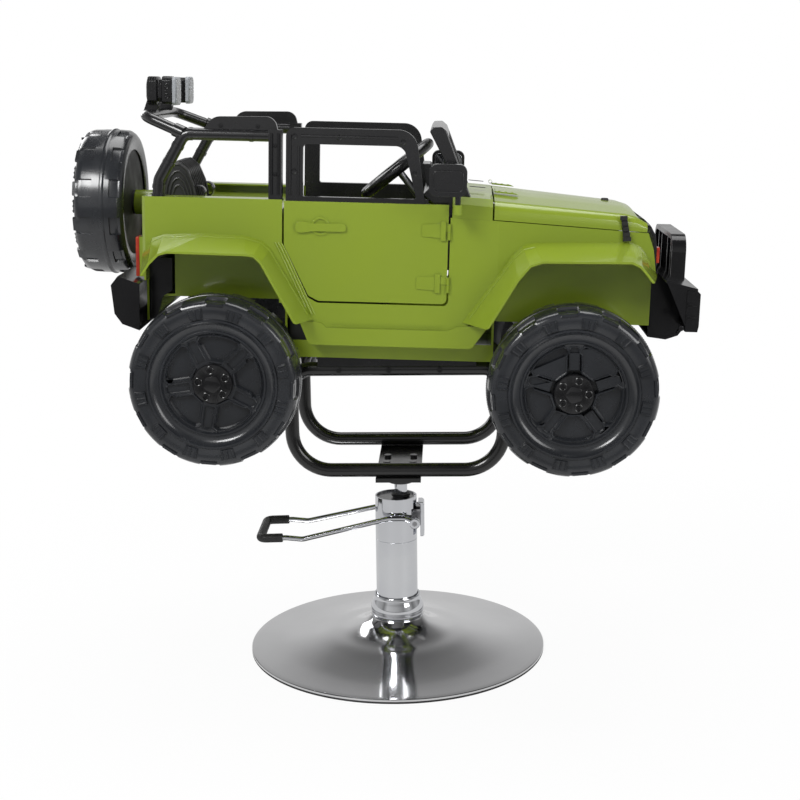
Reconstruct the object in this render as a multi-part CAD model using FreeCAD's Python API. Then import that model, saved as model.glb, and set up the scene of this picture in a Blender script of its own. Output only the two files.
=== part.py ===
import FreeCAD
import Part
import math
import os

os.makedirs("parts", exist_ok=True)

V = FreeCAD.Vector
DIR_X = V(1, 0, 0)
DIR_Y = V(0, 1, 0)
DIR_Z = V(0, 0, 1)
FULL_TURN = 360
RIGHT_ANGLE = 90

# Fits and gaps
SEAT_GAP = 0.3
RUN_GAP = 0.05
CORNER_ROOM_SHARE = 0.98
CUT_OVERRUN = 10.0

# Base plate, column and pump, all heights from the floor
DISC_RADIUS = 300.0
DISC_TOP_Z = 67.0
DISC_BORE = 40.0
PAD_HEIGHT = 3.0
DISC_OUTER_SHARES = [(0.993, 0.134), (0.667, 0.291), (0.367, 0.537), (0.25, 0.731), (0.18, 1.0)]
DISC_INNER_SHARES = [(0.147, 0.93), (0.225, 0.672), (0.353, 0.47), (0.657, 0.221), (0.953, 0.06)]
COLLAR_HEIGHT = 45.0
COLLAR_RADIUS = 54.0
COLLAR_FOOT = 49.5
COLLAR_NECK = 47.5
COLLAR_LEDGE = 38.5
COLLAR_LEDGE_HEIGHT = 28.0
COVER_RADIUS = 42.0
COVER_WALL = 2.5
PUMP_TOP_Z = 320.0
SEAM_SHARE = 0.6
SEAM_DEPTH = 0.4
SEAM_HEIGHT = 0.8
CAP_DROP = 4.0
CAP_HEIGHT = 10.0
PUMP_RADIUS = 38.0
PUMP_FLANGE_RADIUS = 43.5
PUMP_FLANGE_HEIGHT = 8.0
PUMP_FOOT_Z = 16.0

# Ram, set off from the middle of the column
RAM_X = 10.0
RAM_RADIUS = 13.0
RAM_LENGTH = 250.0
BUSH_WALL = 5.0
BUSH_LENGTH = 30.0
HUB_RADIUS = 45.0
HUB_PLATE = 8.0
HUB_NECK_RADIUS = 25.0
HUB_NECK_Z = 348.0
HUB_BOLT_CIRCLE = 37.0
HUB_BOLT_TURN = 0.5
HUB_BOLT_RADIUS = 4.0
BOLT_HEAD_RADIUS = 7.0
BOLT_HEAD_HEIGHT = 5.0

# Pedal
PIVOT_DX = 29.0
PIVOT_Z = 277.0
PIVOT_RADIUS = 6.0
PIVOT_HALF = 55.0
EYE_RADIUS = 9.5
CHEEK_HALF = 24.0
CHEEK_SLOT_HALF = 10.0
CHEEK_REACH = 10.0
CHEEK_HEIGHT = 15.0
NOSE_ARM = 10.0
NOSE_RADIUS = 4.0
CAM_HALF = 8.0
PLUNGER_LENGTH = 58.0
PLUNGER_TRAVEL = 8.0
HOOD_THICK = 8.0
HOOD_HALF = 17.0
HOOD_TOP = 32.0
HOOD_DROP = 40.0
PEDAL_REACH = 309.0
PEDAL_ROD_RADIUS = 5.25
PEDAL_BEND = 30.0
PEDAL_Y = 50.0
PEDAL_END_Y = 62.0
GRIP_RADIUS = 9.0
GRIP_HALF = 52.0
# Path of one pedal arm, along and above the pivot, in shares of the pedal reach
PEDAL_PATH_SHARES = [(0, 0), (-0.07, 0.027), (-0.17, 0.027), (-0.725, -0.1), (-0.83, -0.09),
    (-1, -0.094)]

# Tube frame that carries the car
TUBE_RADIUS = 13.5
LOOP_Y = 124.4
LOOP_LOW_Z = 406.0
LOOP_RISE = 199.0
LOOP_HALF = 202.5
LOOP_LOW_BEND = 75.0
LOOP_HIGH_BEND = 40.0
STRAP_HALF = 43.5
STRAP_THICK = 8.2
PAD_RISE = 9.5
PAD_HALF = 150.0
PAD_OUT = 12.0
PAD_LEG = 8.0
SCREW_RADIUS = 4.0
SCREW_HEAD = 5.0
SCREW_HEAD_HEIGHT = 4.0
SCREW_X_SHARES = [-0.54, -0.075, 0.4]

# Derived heights
STRAP_TOP_Z = LOOP_LOW_Z - TUBE_RADIUS - SEAT_GAP
STRAP_Z = STRAP_TOP_Z - STRAP_THICK
HUB_Z = STRAP_Z - HUB_PLATE
RAM_TOP_Z = STRAP_Z - SEAT_GAP
LOOP_HIGH_Z = LOOP_LOW_Z + LOOP_RISE
TUB_Z = LOOP_HIGH_Z + TUBE_RADIUS + PAD_RISE
PUMP_HEAD_Z = PUMP_TOP_Z - CAP_DROP - CAP_HEIGHT
PIVOT_X = RAM_X + PIVOT_DX

# Car module: every outline table of the car is in thousandths of it
CAR_GRID = 1000.0
GRID_PARTS = 1000.0
DATUM_SHARE = 628.0
PITCH_DEG = 2.0
TILT_DROP = 68.0
TILT_Z = TUB_Z - TILT_DROP

# Car body, half widths and wall thicknesses
HALF_WIDTH = 190.0
NOSE_HALF = 150.0
NOSE_END_HALF = 144.0
TAIL_HALF = 184.0
SKIN = 3.0
WALL = 4.0
SKIN_LAP = 12.0
LINER_LAP = 9.0
FLANGE_WIDTH = 38.0
FLANGE_INNER = 15.0
FLARE_OUT = 75.0
FLARE_HALF = HALF_WIDTH + FLARE_OUT
ROOT_BITE = 4.0
ROOT_TAPER = 40.0
FLARE_ROOT_HALVES = (HALF_WIDTH - ROOT_BITE, HALF_WIDTH - ROOT_BITE - ROOT_TAPER)
FLARE_LIP = 4.0
FLOOR_HALF = 150.0
BOX_HALF = NOSE_END_HALF - WALL
LEDGE_HALF = 184.0
PLAN_SHARES = [(-461, 0), (-461, TAIL_HALF), (-455, HALF_WIDTH), (190, HALF_WIDTH),
    (455, NOSE_HALF), (500, NOSE_END_HALF), (500, 0)]
PLAN_Z_SHARES = (600, 980)
SIDE_SHARES = [
    (-461, 924), (-204.7, 924), (-204.7, 843), (-158.5, 748), (-139, 737.5), (101.2, 737.5),
    (101.2, 899), (180, 896), (465, 876.3), (476, 846), (480, 821), (482, 806), (472, 799.5),
    (440, 800), (300, 758), (184, 714), (146, 660), (-153, 660), (-172, 709), (-420, 805),
    (-450, 812.7), (-461, 819),
]
SIDE_RADII_SHARES = [0, 0, 12, 12, 14, 10] + [0] * 10 + [10, 10] + [0] * 4
ROCKER_SHARES = [
    (-153.4, 660), (-171, 702.5), (-142.5, 702.5), (-130, 700.5), (-121, 692), (101, 692),
    (118, 700), (169, 704), (178, 705), (146.2, 660),
]
ROCKER_RADII = [10, 0, 0, 4, 4, 4, 4, 0, 0, 10]
ROCKER_OUT = 5.0
SILL_FLANGE_SHARES = (-145, 140, 660, 663)
DECK_FLANGE_SHARES = (-458, -206, 921, 924)
SEAM_FLANGE_SHARES = [(110, 895.6), (110, 898.66), (180, 896), (455, 876.97), (455, 873.97), (180, 893)]
REAR_ROOT_SHARES = [(-460, 819), (-442, 848), (-420, 856), (-344, 859), (-273, 857), (-242, 849),
    (-225, 836), (-146, 706)]
REAR_LIP_SHARES = [(-450, 790), (-436, 812), (-419, 829), (-402, 834), (-263, 833), (-246, 831),
    (-233, 819), (-170, 709)]
FRONT_ROOT_SHARES = [(128, 708), (218, 835.6), (233.8, 849.5), (253, 854.3), (429.2, 852.1),
    (447.2, 844.4), (462, 825.9), (478.1, 799.5)]
FRONT_LIP_SHARES = [(170, 709), (222, 800), (243, 826), (266, 834), (424, 837), (440, 830),
    (453, 816), (465, 801)]

# Tub plates: x from, x to, z from, z to
FLOOR_SHARES = (-202, 188, 628, 632)
FLOOR_SIDE_SHARES = (-202, 188, 628, 660)
LEDGE_SHARES = (-150, 140, 656, 660)
TOE_SHARES = (184, 188, 628, 708)
FRONT_BOTTOM_SHARES = (104, 476, 704, 708)
FRONT_WALL_SHARES = (184, 470, 704, 866)
FRONT_END_SHARES = (466, 476, 704, 848)
FIREWALL_SHARES = (104, 108, 704, 905)
HEEL_SHARES = (-202, -198, 628, 739)
REAR_BOTTOM_SHARES = (-461, -198, 735, 739)
REAR_WALL_SHARES = (-410, -206, 735, 906)
DECK_SHARES = (-457, -206, 902, 906)
BACK_WALL_SHARES = (-210, -206, 735, 906)
TAIL_WALL_SHARES = (-461, -457, 690, 768)
REAR_PANEL_SHARES = (-461, -457, 768, 924)
REAR_PANEL_HALF = 139.7
REAR_FOOT_SHARES = (-461, -457, 768, 816)
REAR_FOOT_HALF = 176.0
TAIL_HALF_WALL = 150.0

# Scuttle and bonnet sections: x, seam height, top height at the middle
COWL_SHARES = [(104, 898.9, 951), (177, 896.12, 946)]
COWL_SHOULDER = 13.0
COWL_FALL = 13.0
BONNET_SHARES = [
    (180, 896.02, 942), (396, 881.08, 923), (421, 879.35, 920.5), (441, 877.97, 914.5),
    (462, 876.51, 900),
]
BONNET_SEAM = 1.3
BONNET_FALL_SHARE = 0.25
BONNET_SHOULDER_SHARE = 0.55
BONNET_ARC_SHARE = 0.3
NOSE_OUTER_SHARES = [(462.6, 897), (470, 888), (479, 872), (482, 850), (482, 806)]
NOSE_INNER_SHARES = [(476, 806), (476, 850), (473.5, 869), (466, 883), (462.6, 888)]
NOSE_PANEL_HALF = 143.0
NOSE_LAMP_Y = 98.0
NOSE_LAMP_Z_SHARE = 832.0
NOSE_LAMP_RADIUS = 23.0
NOSE_LAMP_DEPTH = 9.0
GRILLE_HALF = 52.0
GRILLE_SHARES = [(813, 819), (826, 832), (839, 845)]
MARKER_SHARES = (482, 488, 821, 850)
MARKER_HALVES = (123.0, 142.0)
TAIL_LAMP_SHARES = (-476, -469, 775, 848)
TAIL_PLINTH_SHARES = (-469, -461, 775, 848)
TAIL_LAMP_HALVES = (146.0, 174.0)
LATCH_SHARES = [(411, 908), (422, 908), (432, 862), (418, 862)]
LATCH_THICK = 4.0

# Doors
DOOR_SHARES = [(-201.2, 922), (-201.2, 842.2), (-155.8, 750.2), (-137.4, 741), (97.7, 741), (97.7, 922)]
DOOR_RADII_SHARES = [0, 10, 10, 12, 10, 0]
DOOR_POCKET_SHARES = [(-196.2, 908), (-196.2, 843.5), (-152, 754), (-136, 746), (92.7, 746),
    (92.7, 908)]
DOOR_DEPTH = 10.0
HINGE_OUT = 3.3
HINGE_RADIUS = 3.0
HINGE_PIN = 1.5
HINGE_X_SHARE = 99.5
HINGE_Z_SHARES = [(874, 888, 859, 873.5), (777.5, 791, 763, 777)]
STRAP_DOOR_SHARES = (80, 92)
STRAP_POST_SHARES = (102.5, 105)
# Moulded leaf and rib of each hinge: x of the leaf, rib and end, middle height
HINGE_LEAF_SHARES = [(50, 84, 93, 875), (42, 76, 85, 779)]
HINGE_LEAF_HALVES = (11.0, 13.0, 17.5)
LEAF_RIB_OUT = 4.0
STRAP_OUT = 2.0
FRAME_OUTER_SHARES = [(-199, 922), (-199, 1053), (34.5, 1053), (54, 922)]
FRAME_INNER_SHARES = [(-168, 930), (-168, 1024), (14, 1024), (38, 930)]
FRAME_OUTER_RADII = [0, 16, 36, 0]
FRAME_INNER_RADII = [4, 8, 20, 4]
FRAME_HALVES = (173.0, 184.0)
RAIL_SHARES = (-196, 60, 898, 930)
RAIL_HALVES = (169.0, 180.0)
HANDLE_SHARES = [(-180, 866), (-164, 866), (-150, 869), (-88, 869), (-88, 883.5), (-150, 883),
    (-164, 886), (-180, 886)]
HANDLE_BEND = [9, 4, 4, 6, 6, 4, 4, 9]
HANDLE_CENTRE_SHARE = (-134.5, 878)
HANDLE_RADIUS = 17.0
HANDLE_OUT = 2.5
HANDLE_BAR_OUT = 5.0
HANDLE_HOLLOW = 13.0

# Roll cage, light bar and lamps
CAGE_Y = 177.0
CAGE_RADIUS = 11.0
CAGE_BEND = 22.0
CAGE_PATH_SHARES = [(-432, 924), (-430, 953), (-384, 1037), (-219, 1037)]
PILLAR_SHARES = (-230, -206, 924, 1048)
HUMP_SHARES = [(-358, 1034), (-330, 1069), (-220, 1071), (-211, 1034)]
HUMP_RADII = [0, 24, 20, 0]
CAGE_CUT_SHARES = (-600, 600, 800)
HUMP_HALVES = (172.0, 182.0)
CAGE_FOOT_RADIUS = 14.0
CAGE_FOOT_HEIGHT = 5.0
BAR_CORNER_SHARES = (-462, 1066)
BAR_CORNER_Y = 150.0
BAR_RADIUS = 10.0
BAR_BEND = 34.0
STUB_LENGTH = 20.0
STUB_RADIUS = 12.5
LAMP_Y = 70.0
LAMP_RADIUS = 26.0
LAMP_CUT_SHARE = 0.35
LAMP_SHARES = (-470, -414)
LAMP_Z_SHARE = 1110.0
LENS_RADIUS = 23.0
LENS_DEPTH = 4.0
LENS_STAND = 2.0
LAMP_FOOT_SHARES = [(-478, 1068), (-454, 1068), (-446, 1094), (-470, 1094)]
LAMP_FOOT_HALF = 12.0

# Cabin
POD_SHARES = [(-448, 906), (-437, 968), (-417, 981), (-396, 966), (-379, 906)]
POD_RADII = [0, 16, 12, 20, 0]
POD_HOLLOW_SHARES = [(-443, 900), (-433, 962), (-417, 973), (-401, 961), (-385, 900)]
POD_HALF = 70.0
SEAT_OUTER_SHARES = [(-20, 632), (-20, 752), (-40, 770), (-146, 762), (-176, 896), (-197, 896),
    (-197, 632)]
SEAT_RADII = [0, 12, 16, 20, 8, 8, 0]
SEAT_INNER_SHARES = [(-24, 622), (-24, 750), (-42, 766), (-149.5, 758), (-179.5, 892), (-193, 892),
    (-193, 622)]
SEAT_HALF = 134.0
DASH_OUTER_SHARES = [(104, 935), (100, 946), (62, 950), (50, 938), (74, 918), (74, 800), (104, 800)]
DASH_INNER_SHARES = [(114, 930), (96, 942), (64, 946), (57, 938), (78, 920), (78, 804), (114, 804)]
DASH_SIDE_ROOM = 30.0
DASH_HALF = HALF_WIDTH - DASH_SIDE_ROOM
BINNACLE_SHARES = [(96, 946), (60, 986), (46, 986), (55, 944), (62, 950)]
BINNACLE_HALF = 48.0
SCREEN_SHARES = [(59, 1051), (64, 1059), (80, 1060), (90, 1052), (112, 998), (137, 935), (113, 935),
    (93, 990)]
SCREEN_HALF = 176.0
SCREEN_POST = 20.0
SCREEN_TOP_SHARE = 1040.0

# Steering gear
WHEEL_CENTRE_SHARE = (-4, 973)
COLUMN_SLOPE_DEG = 50.4
RIM_RADIUS = 76.0
RIM_TUBE = 10.5
STEER_HUB_RADIUS = 26.0
STEER_HUB_HEIGHT = 16.0
SPOKE_WIDTH = 18.0
SPOKE_THICK = 8.0
STEER_SPOKES = 3
HORN_RADIUS = 16.0
HORN_HEIGHT = 7.0
HORN_TRAVEL = 3.5
SHAFT_RADIUS = 7.0
SHAFT_LENGTH = 466.0
PINION_RADIUS = 10.2
PINION_HEIGHT = 16.0
SHAFT_ROOM = 2.0
RACK_RADIUS = 4.5
ARM_LENGTH = 40.0
KINGPIN_Y = 177.0
KINGPIN_RADIUS = 5.0
FORK_GAP = 21.0
FORK_THICK = 7.0
FORK_HALF_X = 12.0
FORK_OUT = 11.0
BEAM_HALF = 10.0
BEAM_END = 156.0
HANGER_Y = 92.0
HANGER_WIDTH = 20.0
ARM_THICK = 5.0
LINK_PIN = 3.0
LINK_ROOM = 0.2
LINK_TRAVEL = 1.8
ARM_WIDTH = 14.0

# Wheels
WHEEL_RADIUS = 156.0
WHEEL_WIDTH = 125.0
WHEEL_Y = 255.0
FRONT_X_SHARE = 329.0
REAR_X_SHARE = -315.0
WHEEL_Z_SHARE = 603.5
AXLE_RADIUS = 9.0
AXLE_END_SHARE = 0.16
SPARE_RADIUS = 139.5
SPARE_WIDTH = 122.0
SPARE_X_SHARE = -547.0
SPARE_Z_SHARE = 896.0
LUG_COUNT = 12
SPOKE_COUNT = 5
# Wheel section: radius share and width share, the outer face at positive width
TYRE_OUTER_SHARES = [
    (0.55, 0.4), (0.6, 0.46), (0.86, 0.5), (0.93, 0.43), (0.965, 0.32), (0.965, -0.36), (0.92, -0.5),
    (0.72, -0.46), (0.72, -0.425), (0.905, -0.462), (0.935, -0.345), (0.935, 0.305),
    (0.905, 0.4), (0.845, 0.465), (0.61, 0.43), (0.575, 0.37),
]
FACE_SHARES = [(0.12, 0.24), (0.55, 0.24), (0.55, 0.4), (0.575, 0.37), (0.575, 0.21), (0.12, 0.21)]
BOSS_SHARE = 0.15
BOSS_SPAN_SHARES = (-0.3, 0.36)
SPOKE_SPAN_SHARES = (0.12, 0.56)
SPOKE_TOP_SHARE = 0.35
SPOKE_HALF_SHARE = 0.05
SPOKE_SPLIT_SHARE = 0.085
LUG_SPAN_SHARES = (-0.42, 0.45)
LUG_HALF_SHARE = 0.125
LUG_ROOT_SHARE = 0.945

# Bumpers, mirrors and spare holder
BEAM_SHARES = [(529, 709), (551, 709), (553, 720), (553, 778), (548, 783), (529, 783)]
BEAM_HOLLOW_SHARES = [(519, 713), (547, 713), (549, 722), (549, 776), (546, 779), (519, 779)]
BEAM_BUMPER_HALF = 230.0
BUMPER_WALL = 4.0
APRON_SHARES = [(476, 798), (476, 802), (484, 802), (548, 787), (548, 781), (540, 781), (484, 798)]
APRON_HALF = 132.0
WING_SHARES = [(490, 800.6), (548, 787), (548, 781), (540, 781), (490, 796.6)]
WING_HALF = 228.0
GUSSET_SHARES = [(493, 795.8), (529, 787.4), (529, 718)]
CHEEK_SHARES = [(476, 800), (484, 800), (533, 786.5), (533, 700), (527, 687.5), (510, 680.5), (476, 684.5)]
CHEEK_HALVES = (127.0, 131.0)
HORN_SHARES = (476, 550, 725, 765)
HORN_HALVES = (60.0, 80.0)
SKID_SHARES = [(476, 686), (510, 682), (530, 690), (543, 709), (550, 709), (532, 685), (510, 677), (476, 681)]
SKID_HALF = 132.0
HOOP_HALF = 120.0
HOOP_SHARES = (514, 540)
HOOP_TOP_SHARE = 871.0
HOOP_FOOT_SHARE = 770.0
HOOP_BEND = 32.0
HOOP_BAND = 9.0
HOOP_WEB_SHARES = (526, 529)
HOOP_RIB_SHARE = 517
HOOP_RIB_HALVES = (38.0, 78.0)
TAIL_BEAM_SHARES = [(-461, 682), (-461, 768), (-500, 781), (-513, 764), (-507, 712), (-493, 693)]
TAIL_HOLLOW_SHARES = [(-451, 686), (-451, 764), (-498, 776), (-508.6, 763), (-503, 714), (-491, 697)]
TAIL_BEAM_HALF = 222.0
# Brackets of the rear bumper, inside the wheel arches
TAIL_BRACKET_SHARES = [(-457, 692), (-457, 800), (-450, 807), (-414, 807), (-414, 746), (-432, 735),
    (-444, 692)]
TAIL_BRACKET_HALVES = (141.0, 149.5)
TAIL_FOOT_SHARES = (-457, -453, 692, 766)
MIRROR_X_SHARE = 113.0
MIRROR_Y = 236.0
MIRROR_SHARES = [(61, 941), (128, 941), (128, 998), (61, 998)]
MIRROR_BEND = 14.0
MIRROR_THICK = 22.0
MIRROR_STALK = 5.0
MIRROR_PIN = 3.0
MIRROR_PIN_LOW_SHARE = 912.0
BOSS_RADIUS = 8.0
BOSS_Z_SHARES = (909, 926.5)
BRACKET_SHARES = (106, 120, 911, 920)
SPARE_BOSS_RADIUS = 24.0
SPARE_PLATE_RADIUS = 45.0
SPARE_STUD_SHARE = 0.3
SPARE_ROOM = 4.0


def px(share):
    return CAR_GRID * share / GRID_PARTS


def pz(share):
    return TUB_Z + CAR_GRID * (share - DATUM_SHARE) / GRID_PARTS


def tilt(shape):
    out = shape.copy()
    out.rotate(V(0, 0, TILT_Z), DIR_Y, PITCH_DEG)
    return out


def world(x, z):
    point = V(x, 0, z)
    turn = FreeCAD.Rotation(DIR_Y, PITCH_DEG)
    moved = turn.multVec(point - V(0, 0, TILT_Z))
    return moved + V(0, 0, TILT_Z)


def mirrored(shape):
    return shape.mirror(V(0, 0, 0), DIR_Y)


def fuse(shapes):
    out = shapes[0]
    if len(shapes) > 1:
        out = out.multiFuse(shapes[1:])
    return out.removeSplitter()


def save(name, shape):
    solids = [s for s in shape.Solids if s.Volume > 0]
    if len(solids) == 1:
        out = solids[0]
    else:
        out = Part.makeCompound(solids)
    out.exportStep("parts/" + name + ".step")


def path(points, radii, closed):
    # Lines and arcs through the points, each corner rounded by its radius
    count = len(points)
    if not isinstance(radii, (list, tuple)):
        radii = [radii] * count
    starts = []
    mids = []
    ends = []
    for i in range(count):
        here = points[i]
        end_point = not closed and i in (0, count - 1)
        if end_point or radii[i] <= 0:
            starts.append(here)
            mids.append(None)
            ends.append(here)
            continue
        back = points[i - 1] - here
        ahead = points[(i + 1) % count] - here
        room = min(back.Length, ahead.Length) / 2
        half = back.getAngle(ahead) / 2
        back.normalize()
        ahead.normalize()
        reach = min(radii[i] / math.tan(half), room * CORNER_ROOM_SHARE)
        radius = reach * math.tan(half)
        inward = back + ahead
        inward.normalize()
        centre = here + inward * (radius / math.sin(half))
        starts.append(here + back * reach)
        mids.append(centre - inward * radius)
        ends.append(here + ahead * reach)
    edges = []
    last = count if closed else count - 1
    for i in range(count):
        if mids[i] is not None:
            edges.append(Part.Arc(starts[i], mids[i], ends[i]).toShape())
        if i < last:
            follow = starts[(i + 1) % count]
            edges.append(Part.makeLine(ends[i], follow))
    return Part.Wire(edges)



def prism(points, radii, low, high):
    # Outline in the x and z directions, run across the car from low to high
    flat = [V(p[0], low, p[1]) for p in points]
    face = Part.Face(path(flat, radii, True))
    return face.extrude(V(0, high - low, 0))


def plate(shares, radii, low, high):
    points = [(px(x), pz(z)) for x, z in shares]
    return prism(points, radii, low, high)


def slab(x0, x1, y0, y1, z0, z1):
    return Part.makeBox(x1 - x0, y1 - y0, z1 - z0, V(x0, y0, z0))


def grid_slab(shares, y0, y1):
    x0, x1, z0, z1 = shares
    return slab(px(x0), px(x1), y0, y1, pz(z0), pz(z1))


def rod(start, end, radius):
    line = end - start
    return Part.makeCylinder(radius, line.Length, start, line)


def tube(points, radii, radius, closed):
    spine = path(points, radii, closed)
    first = spine.Edges[0]
    point = first.valueAt(first.FirstParameter)
    along = first.tangentAt(first.FirstParameter)
    ring = Part.Wire([Part.makeCircle(radius, point, along)])
    return spine.makePipeShell([ring], True, True)


def turned(profile, arcs):
    # Solid of revolution about z, arcs marks the profile points that are arc middles
    points = [V(r, 0, z) for r, z in profile]
    edges = []
    i = 0
    count = len(points)
    while i < count:
        follow = (i + 1) % count
        if follow in arcs:
            after = (i + 2) % count
            edges.append(Part.Arc(points[i], points[follow], points[after]).toShape())
            i += 2
        else:
            edges.append(Part.makeLine(points[i], points[follow]))
            i += 1
    face = Part.Face(Part.Wire(edges))
    return face.revolve(V(0, 0, 0), DIR_Z, FULL_TURN)


def inset(points, depth, reach):
    # Open outline moved to its right hand side, its ends run on by reach
    count = len(points)
    lines = []
    for i in range(count - 1):
        ax, az = points[i]
        bx, bz = points[i + 1]
        length = math.hypot(bx - ax, bz - az)
        ux = (bx - ax) / length
        uz = (bz - az) / length
        lines.append((ax + uz * depth, az - ux * depth, ux, uz))
    out = []
    ax, az, ux, uz = lines[0]
    out.append((ax - ux * reach, az - uz * reach))
    for i in range(1, count - 1):
        ax, az, ux, uz = lines[i - 1]
        bx, bz, vx, vz = lines[i]
        cross = ux * vz - uz * vx
        along = ((bx - ax) * vz - (bz - az) * vx) / cross
        out.append((ax + ux * along, az + uz * along))
    ax, az, ux, uz = lines[-1]
    ex, ez = points[-1]
    out.append((ex + uz * depth + ux * reach, ez - ux * depth + uz * reach))
    return out


def base_disc():
    outer = [(DISC_RADIUS * r, DISC_TOP_Z * z) for r, z in DISC_OUTER_SHARES]
    inner = [(DISC_RADIUS * r, DISC_TOP_Z * z) for r, z in DISC_INNER_SHARES]
    profile = [(DISC_RADIUS, PAD_HEIGHT), (DISC_RADIUS, outer[0][1])] + outer
    profile += [(DISC_BORE, DISC_TOP_Z), (DISC_BORE, inner[0][1])] + inner
    profile += [(inner[-1][0], PAD_HEIGHT)]
    arcs = (3, 5, 10, 12)
    return turned(profile, arcs)


def base_pad():
    return Part.makeCylinder(DISC_RADIUS, PAD_HEIGHT)


def base_collar():
    top = DISC_TOP_Z + COLLAR_HEIGHT
    ledge = DISC_TOP_Z + COLLAR_LEDGE_HEIGHT
    bore = COVER_RADIUS + SEAT_GAP
    profile = [
        (COLLAR_LEDGE, DISC_TOP_Z),
        (COLLAR_FOOT, DISC_TOP_Z),
        (COLLAR_RADIUS, DISC_TOP_Z + COLLAR_HEIGHT / 3),
        (COLLAR_NECK, top - COLLAR_HEIGHT / 5),
        (COLLAR_NECK, top),
        (bore, top),
        (bore, ledge),
        (COLLAR_LEDGE, ledge),
    ]
    return turned(profile, (2,))


def pump_cover():
    low = DISC_TOP_Z + COLLAR_LEDGE_HEIGHT
    height = PUMP_TOP_Z - low
    outer = Part.makeCylinder(COVER_RADIUS, height, V(0, 0, low))
    bore = Part.makeCylinder(COVER_RADIUS - COVER_WALL, height + CUT_OVERRUN, V(0, 0, low))
    seam_z = low + height * SEAM_SHARE
    groove = Part.makeCylinder(COVER_RADIUS + CUT_OVERRUN, SEAM_HEIGHT, V(0, 0, seam_z))
    groove = groove.cut(Part.makeCylinder(COVER_RADIUS - SEAM_DEPTH, height, V(0, 0, low)))
    half = CHEEK_HALF + BOLT_HEAD_RADIUS / 2
    rise = CHEEK_HEIGHT + BOLT_HEAD_HEIGHT
    window = slab(0, COVER_RADIUS + CUT_OVERRUN, -half, half, PIVOT_Z - rise, PIVOT_Z + rise)
    return outer.cut(bore).cut(groove).cut(window)


def pump_cap():
    # Lid with the guide bush that the ram runs in
    radius = COVER_RADIUS - COVER_WALL - SEAT_GAP
    cap = Part.makeCylinder(radius, CAP_HEIGHT, V(0, 0, PUMP_HEAD_Z))
    bush = Part.makeCylinder(RAM_RADIUS + BUSH_WALL, BUSH_LENGTH, V(RAM_X, 0, PUMP_TOP_Z - BUSH_LENGTH))
    bore = Part.makeCylinder(RAM_RADIUS + RUN_GAP, PUMP_TOP_Z * 2, V(RAM_X, 0, 0))
    return fuse([cap, bush]).cut(bore)


def plunger_hole(radius, low, height):
    return Part.makeCylinder(radius, height, V(PIVOT_X - NOSE_ARM, 0, low))


def pump_body():
    core_z = PUMP_FOOT_Z
    core = Part.makeCylinder(PUMP_RADIUS, PUMP_HEAD_Z - core_z, V(0, 0, core_z))
    under = DISC_TOP_Z * DISC_INNER_SHARES[0][1]
    flange = Part.makeCylinder(PUMP_FLANGE_RADIUS, PUMP_FLANGE_HEIGHT,
        V(0, 0, under - PUMP_FLANGE_HEIGHT))
    cheek = slab(0, PIVOT_X + CHEEK_REACH, -CHEEK_HALF, CHEEK_HALF, PIVOT_Z - CHEEK_HEIGHT,
        PIVOT_Z + CHEEK_HEIGHT)
    body = fuse([core, flange, cheek])
    ram_bore = Part.makeCylinder(RAM_RADIUS + SEAT_GAP, PUMP_TOP_Z, V(RAM_X, 0, core_z + PUMP_FOOT_Z))
    seat_z = PUMP_TOP_Z - BUSH_LENGTH - SEAT_GAP
    bush_seat = Part.makeCylinder(RAM_RADIUS + BUSH_WALL + RUN_GAP, PUMP_TOP_Z, V(RAM_X, 0, seat_z))
    pin_bore = rod(V(PIVOT_X, -PIVOT_HALF, PIVOT_Z), V(PIVOT_X, PIVOT_HALF, PIVOT_Z),
        PIVOT_RADIUS + RUN_GAP)
    slot_x = RAM_X + RAM_RADIUS + SEAT_GAP + RUN_GAP
    slot = slab(slot_x, PIVOT_X + CHEEK_REACH + CUT_OVERRUN, -CHEEK_SLOT_HALF, CHEEK_SLOT_HALF,
        PIVOT_Z - CHEEK_HEIGHT, PIVOT_Z + CHEEK_HEIGHT)
    top = PIVOT_Z - NOSE_RADIUS
    well = plunger_hole(NOSE_RADIUS + RUN_GAP, top - PLUNGER_LENGTH - PLUNGER_TRAVEL,
        PLUNGER_LENGTH + PLUNGER_TRAVEL)
    return body.cut(ram_bore).cut(bush_seat).cut(pin_bore).cut(slot).cut(well)


def pump_plunger():
    top = PIVOT_Z - NOSE_RADIUS - SEAT_GAP
    return plunger_hole(NOSE_RADIUS, top - PLUNGER_LENGTH, PLUNGER_LENGTH)


def pump_hood():
    # Bright guard on the outer face of the pivot cheeks
    x0 = PIVOT_X + CHEEK_REACH
    x1 = x0 + HOOD_THICK
    back = x0 - HOOD_THICK / 2
    points = [
        (x0, PIVOT_Z - HOOD_DROP),
        (x0, PIVOT_Z + HOOD_TOP - HOOD_THICK / 2),
        (back, PIVOT_Z + HOOD_TOP - HOOD_THICK / 2),
        (back, PIVOT_Z + HOOD_TOP),
        (x1, PIVOT_Z + HOOD_TOP),
        (x1, PIVOT_Z - HOOD_DROP),
    ]
    return prism(points, [0, 0, 0, 0, HOOD_THICK, HOOD_THICK / 2], -HOOD_HALF, HOOD_HALF)


def ram():
    return Part.makeCylinder(RAM_RADIUS, RAM_LENGTH, V(RAM_X, 0, RAM_TOP_Z - RAM_LENGTH))


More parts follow.
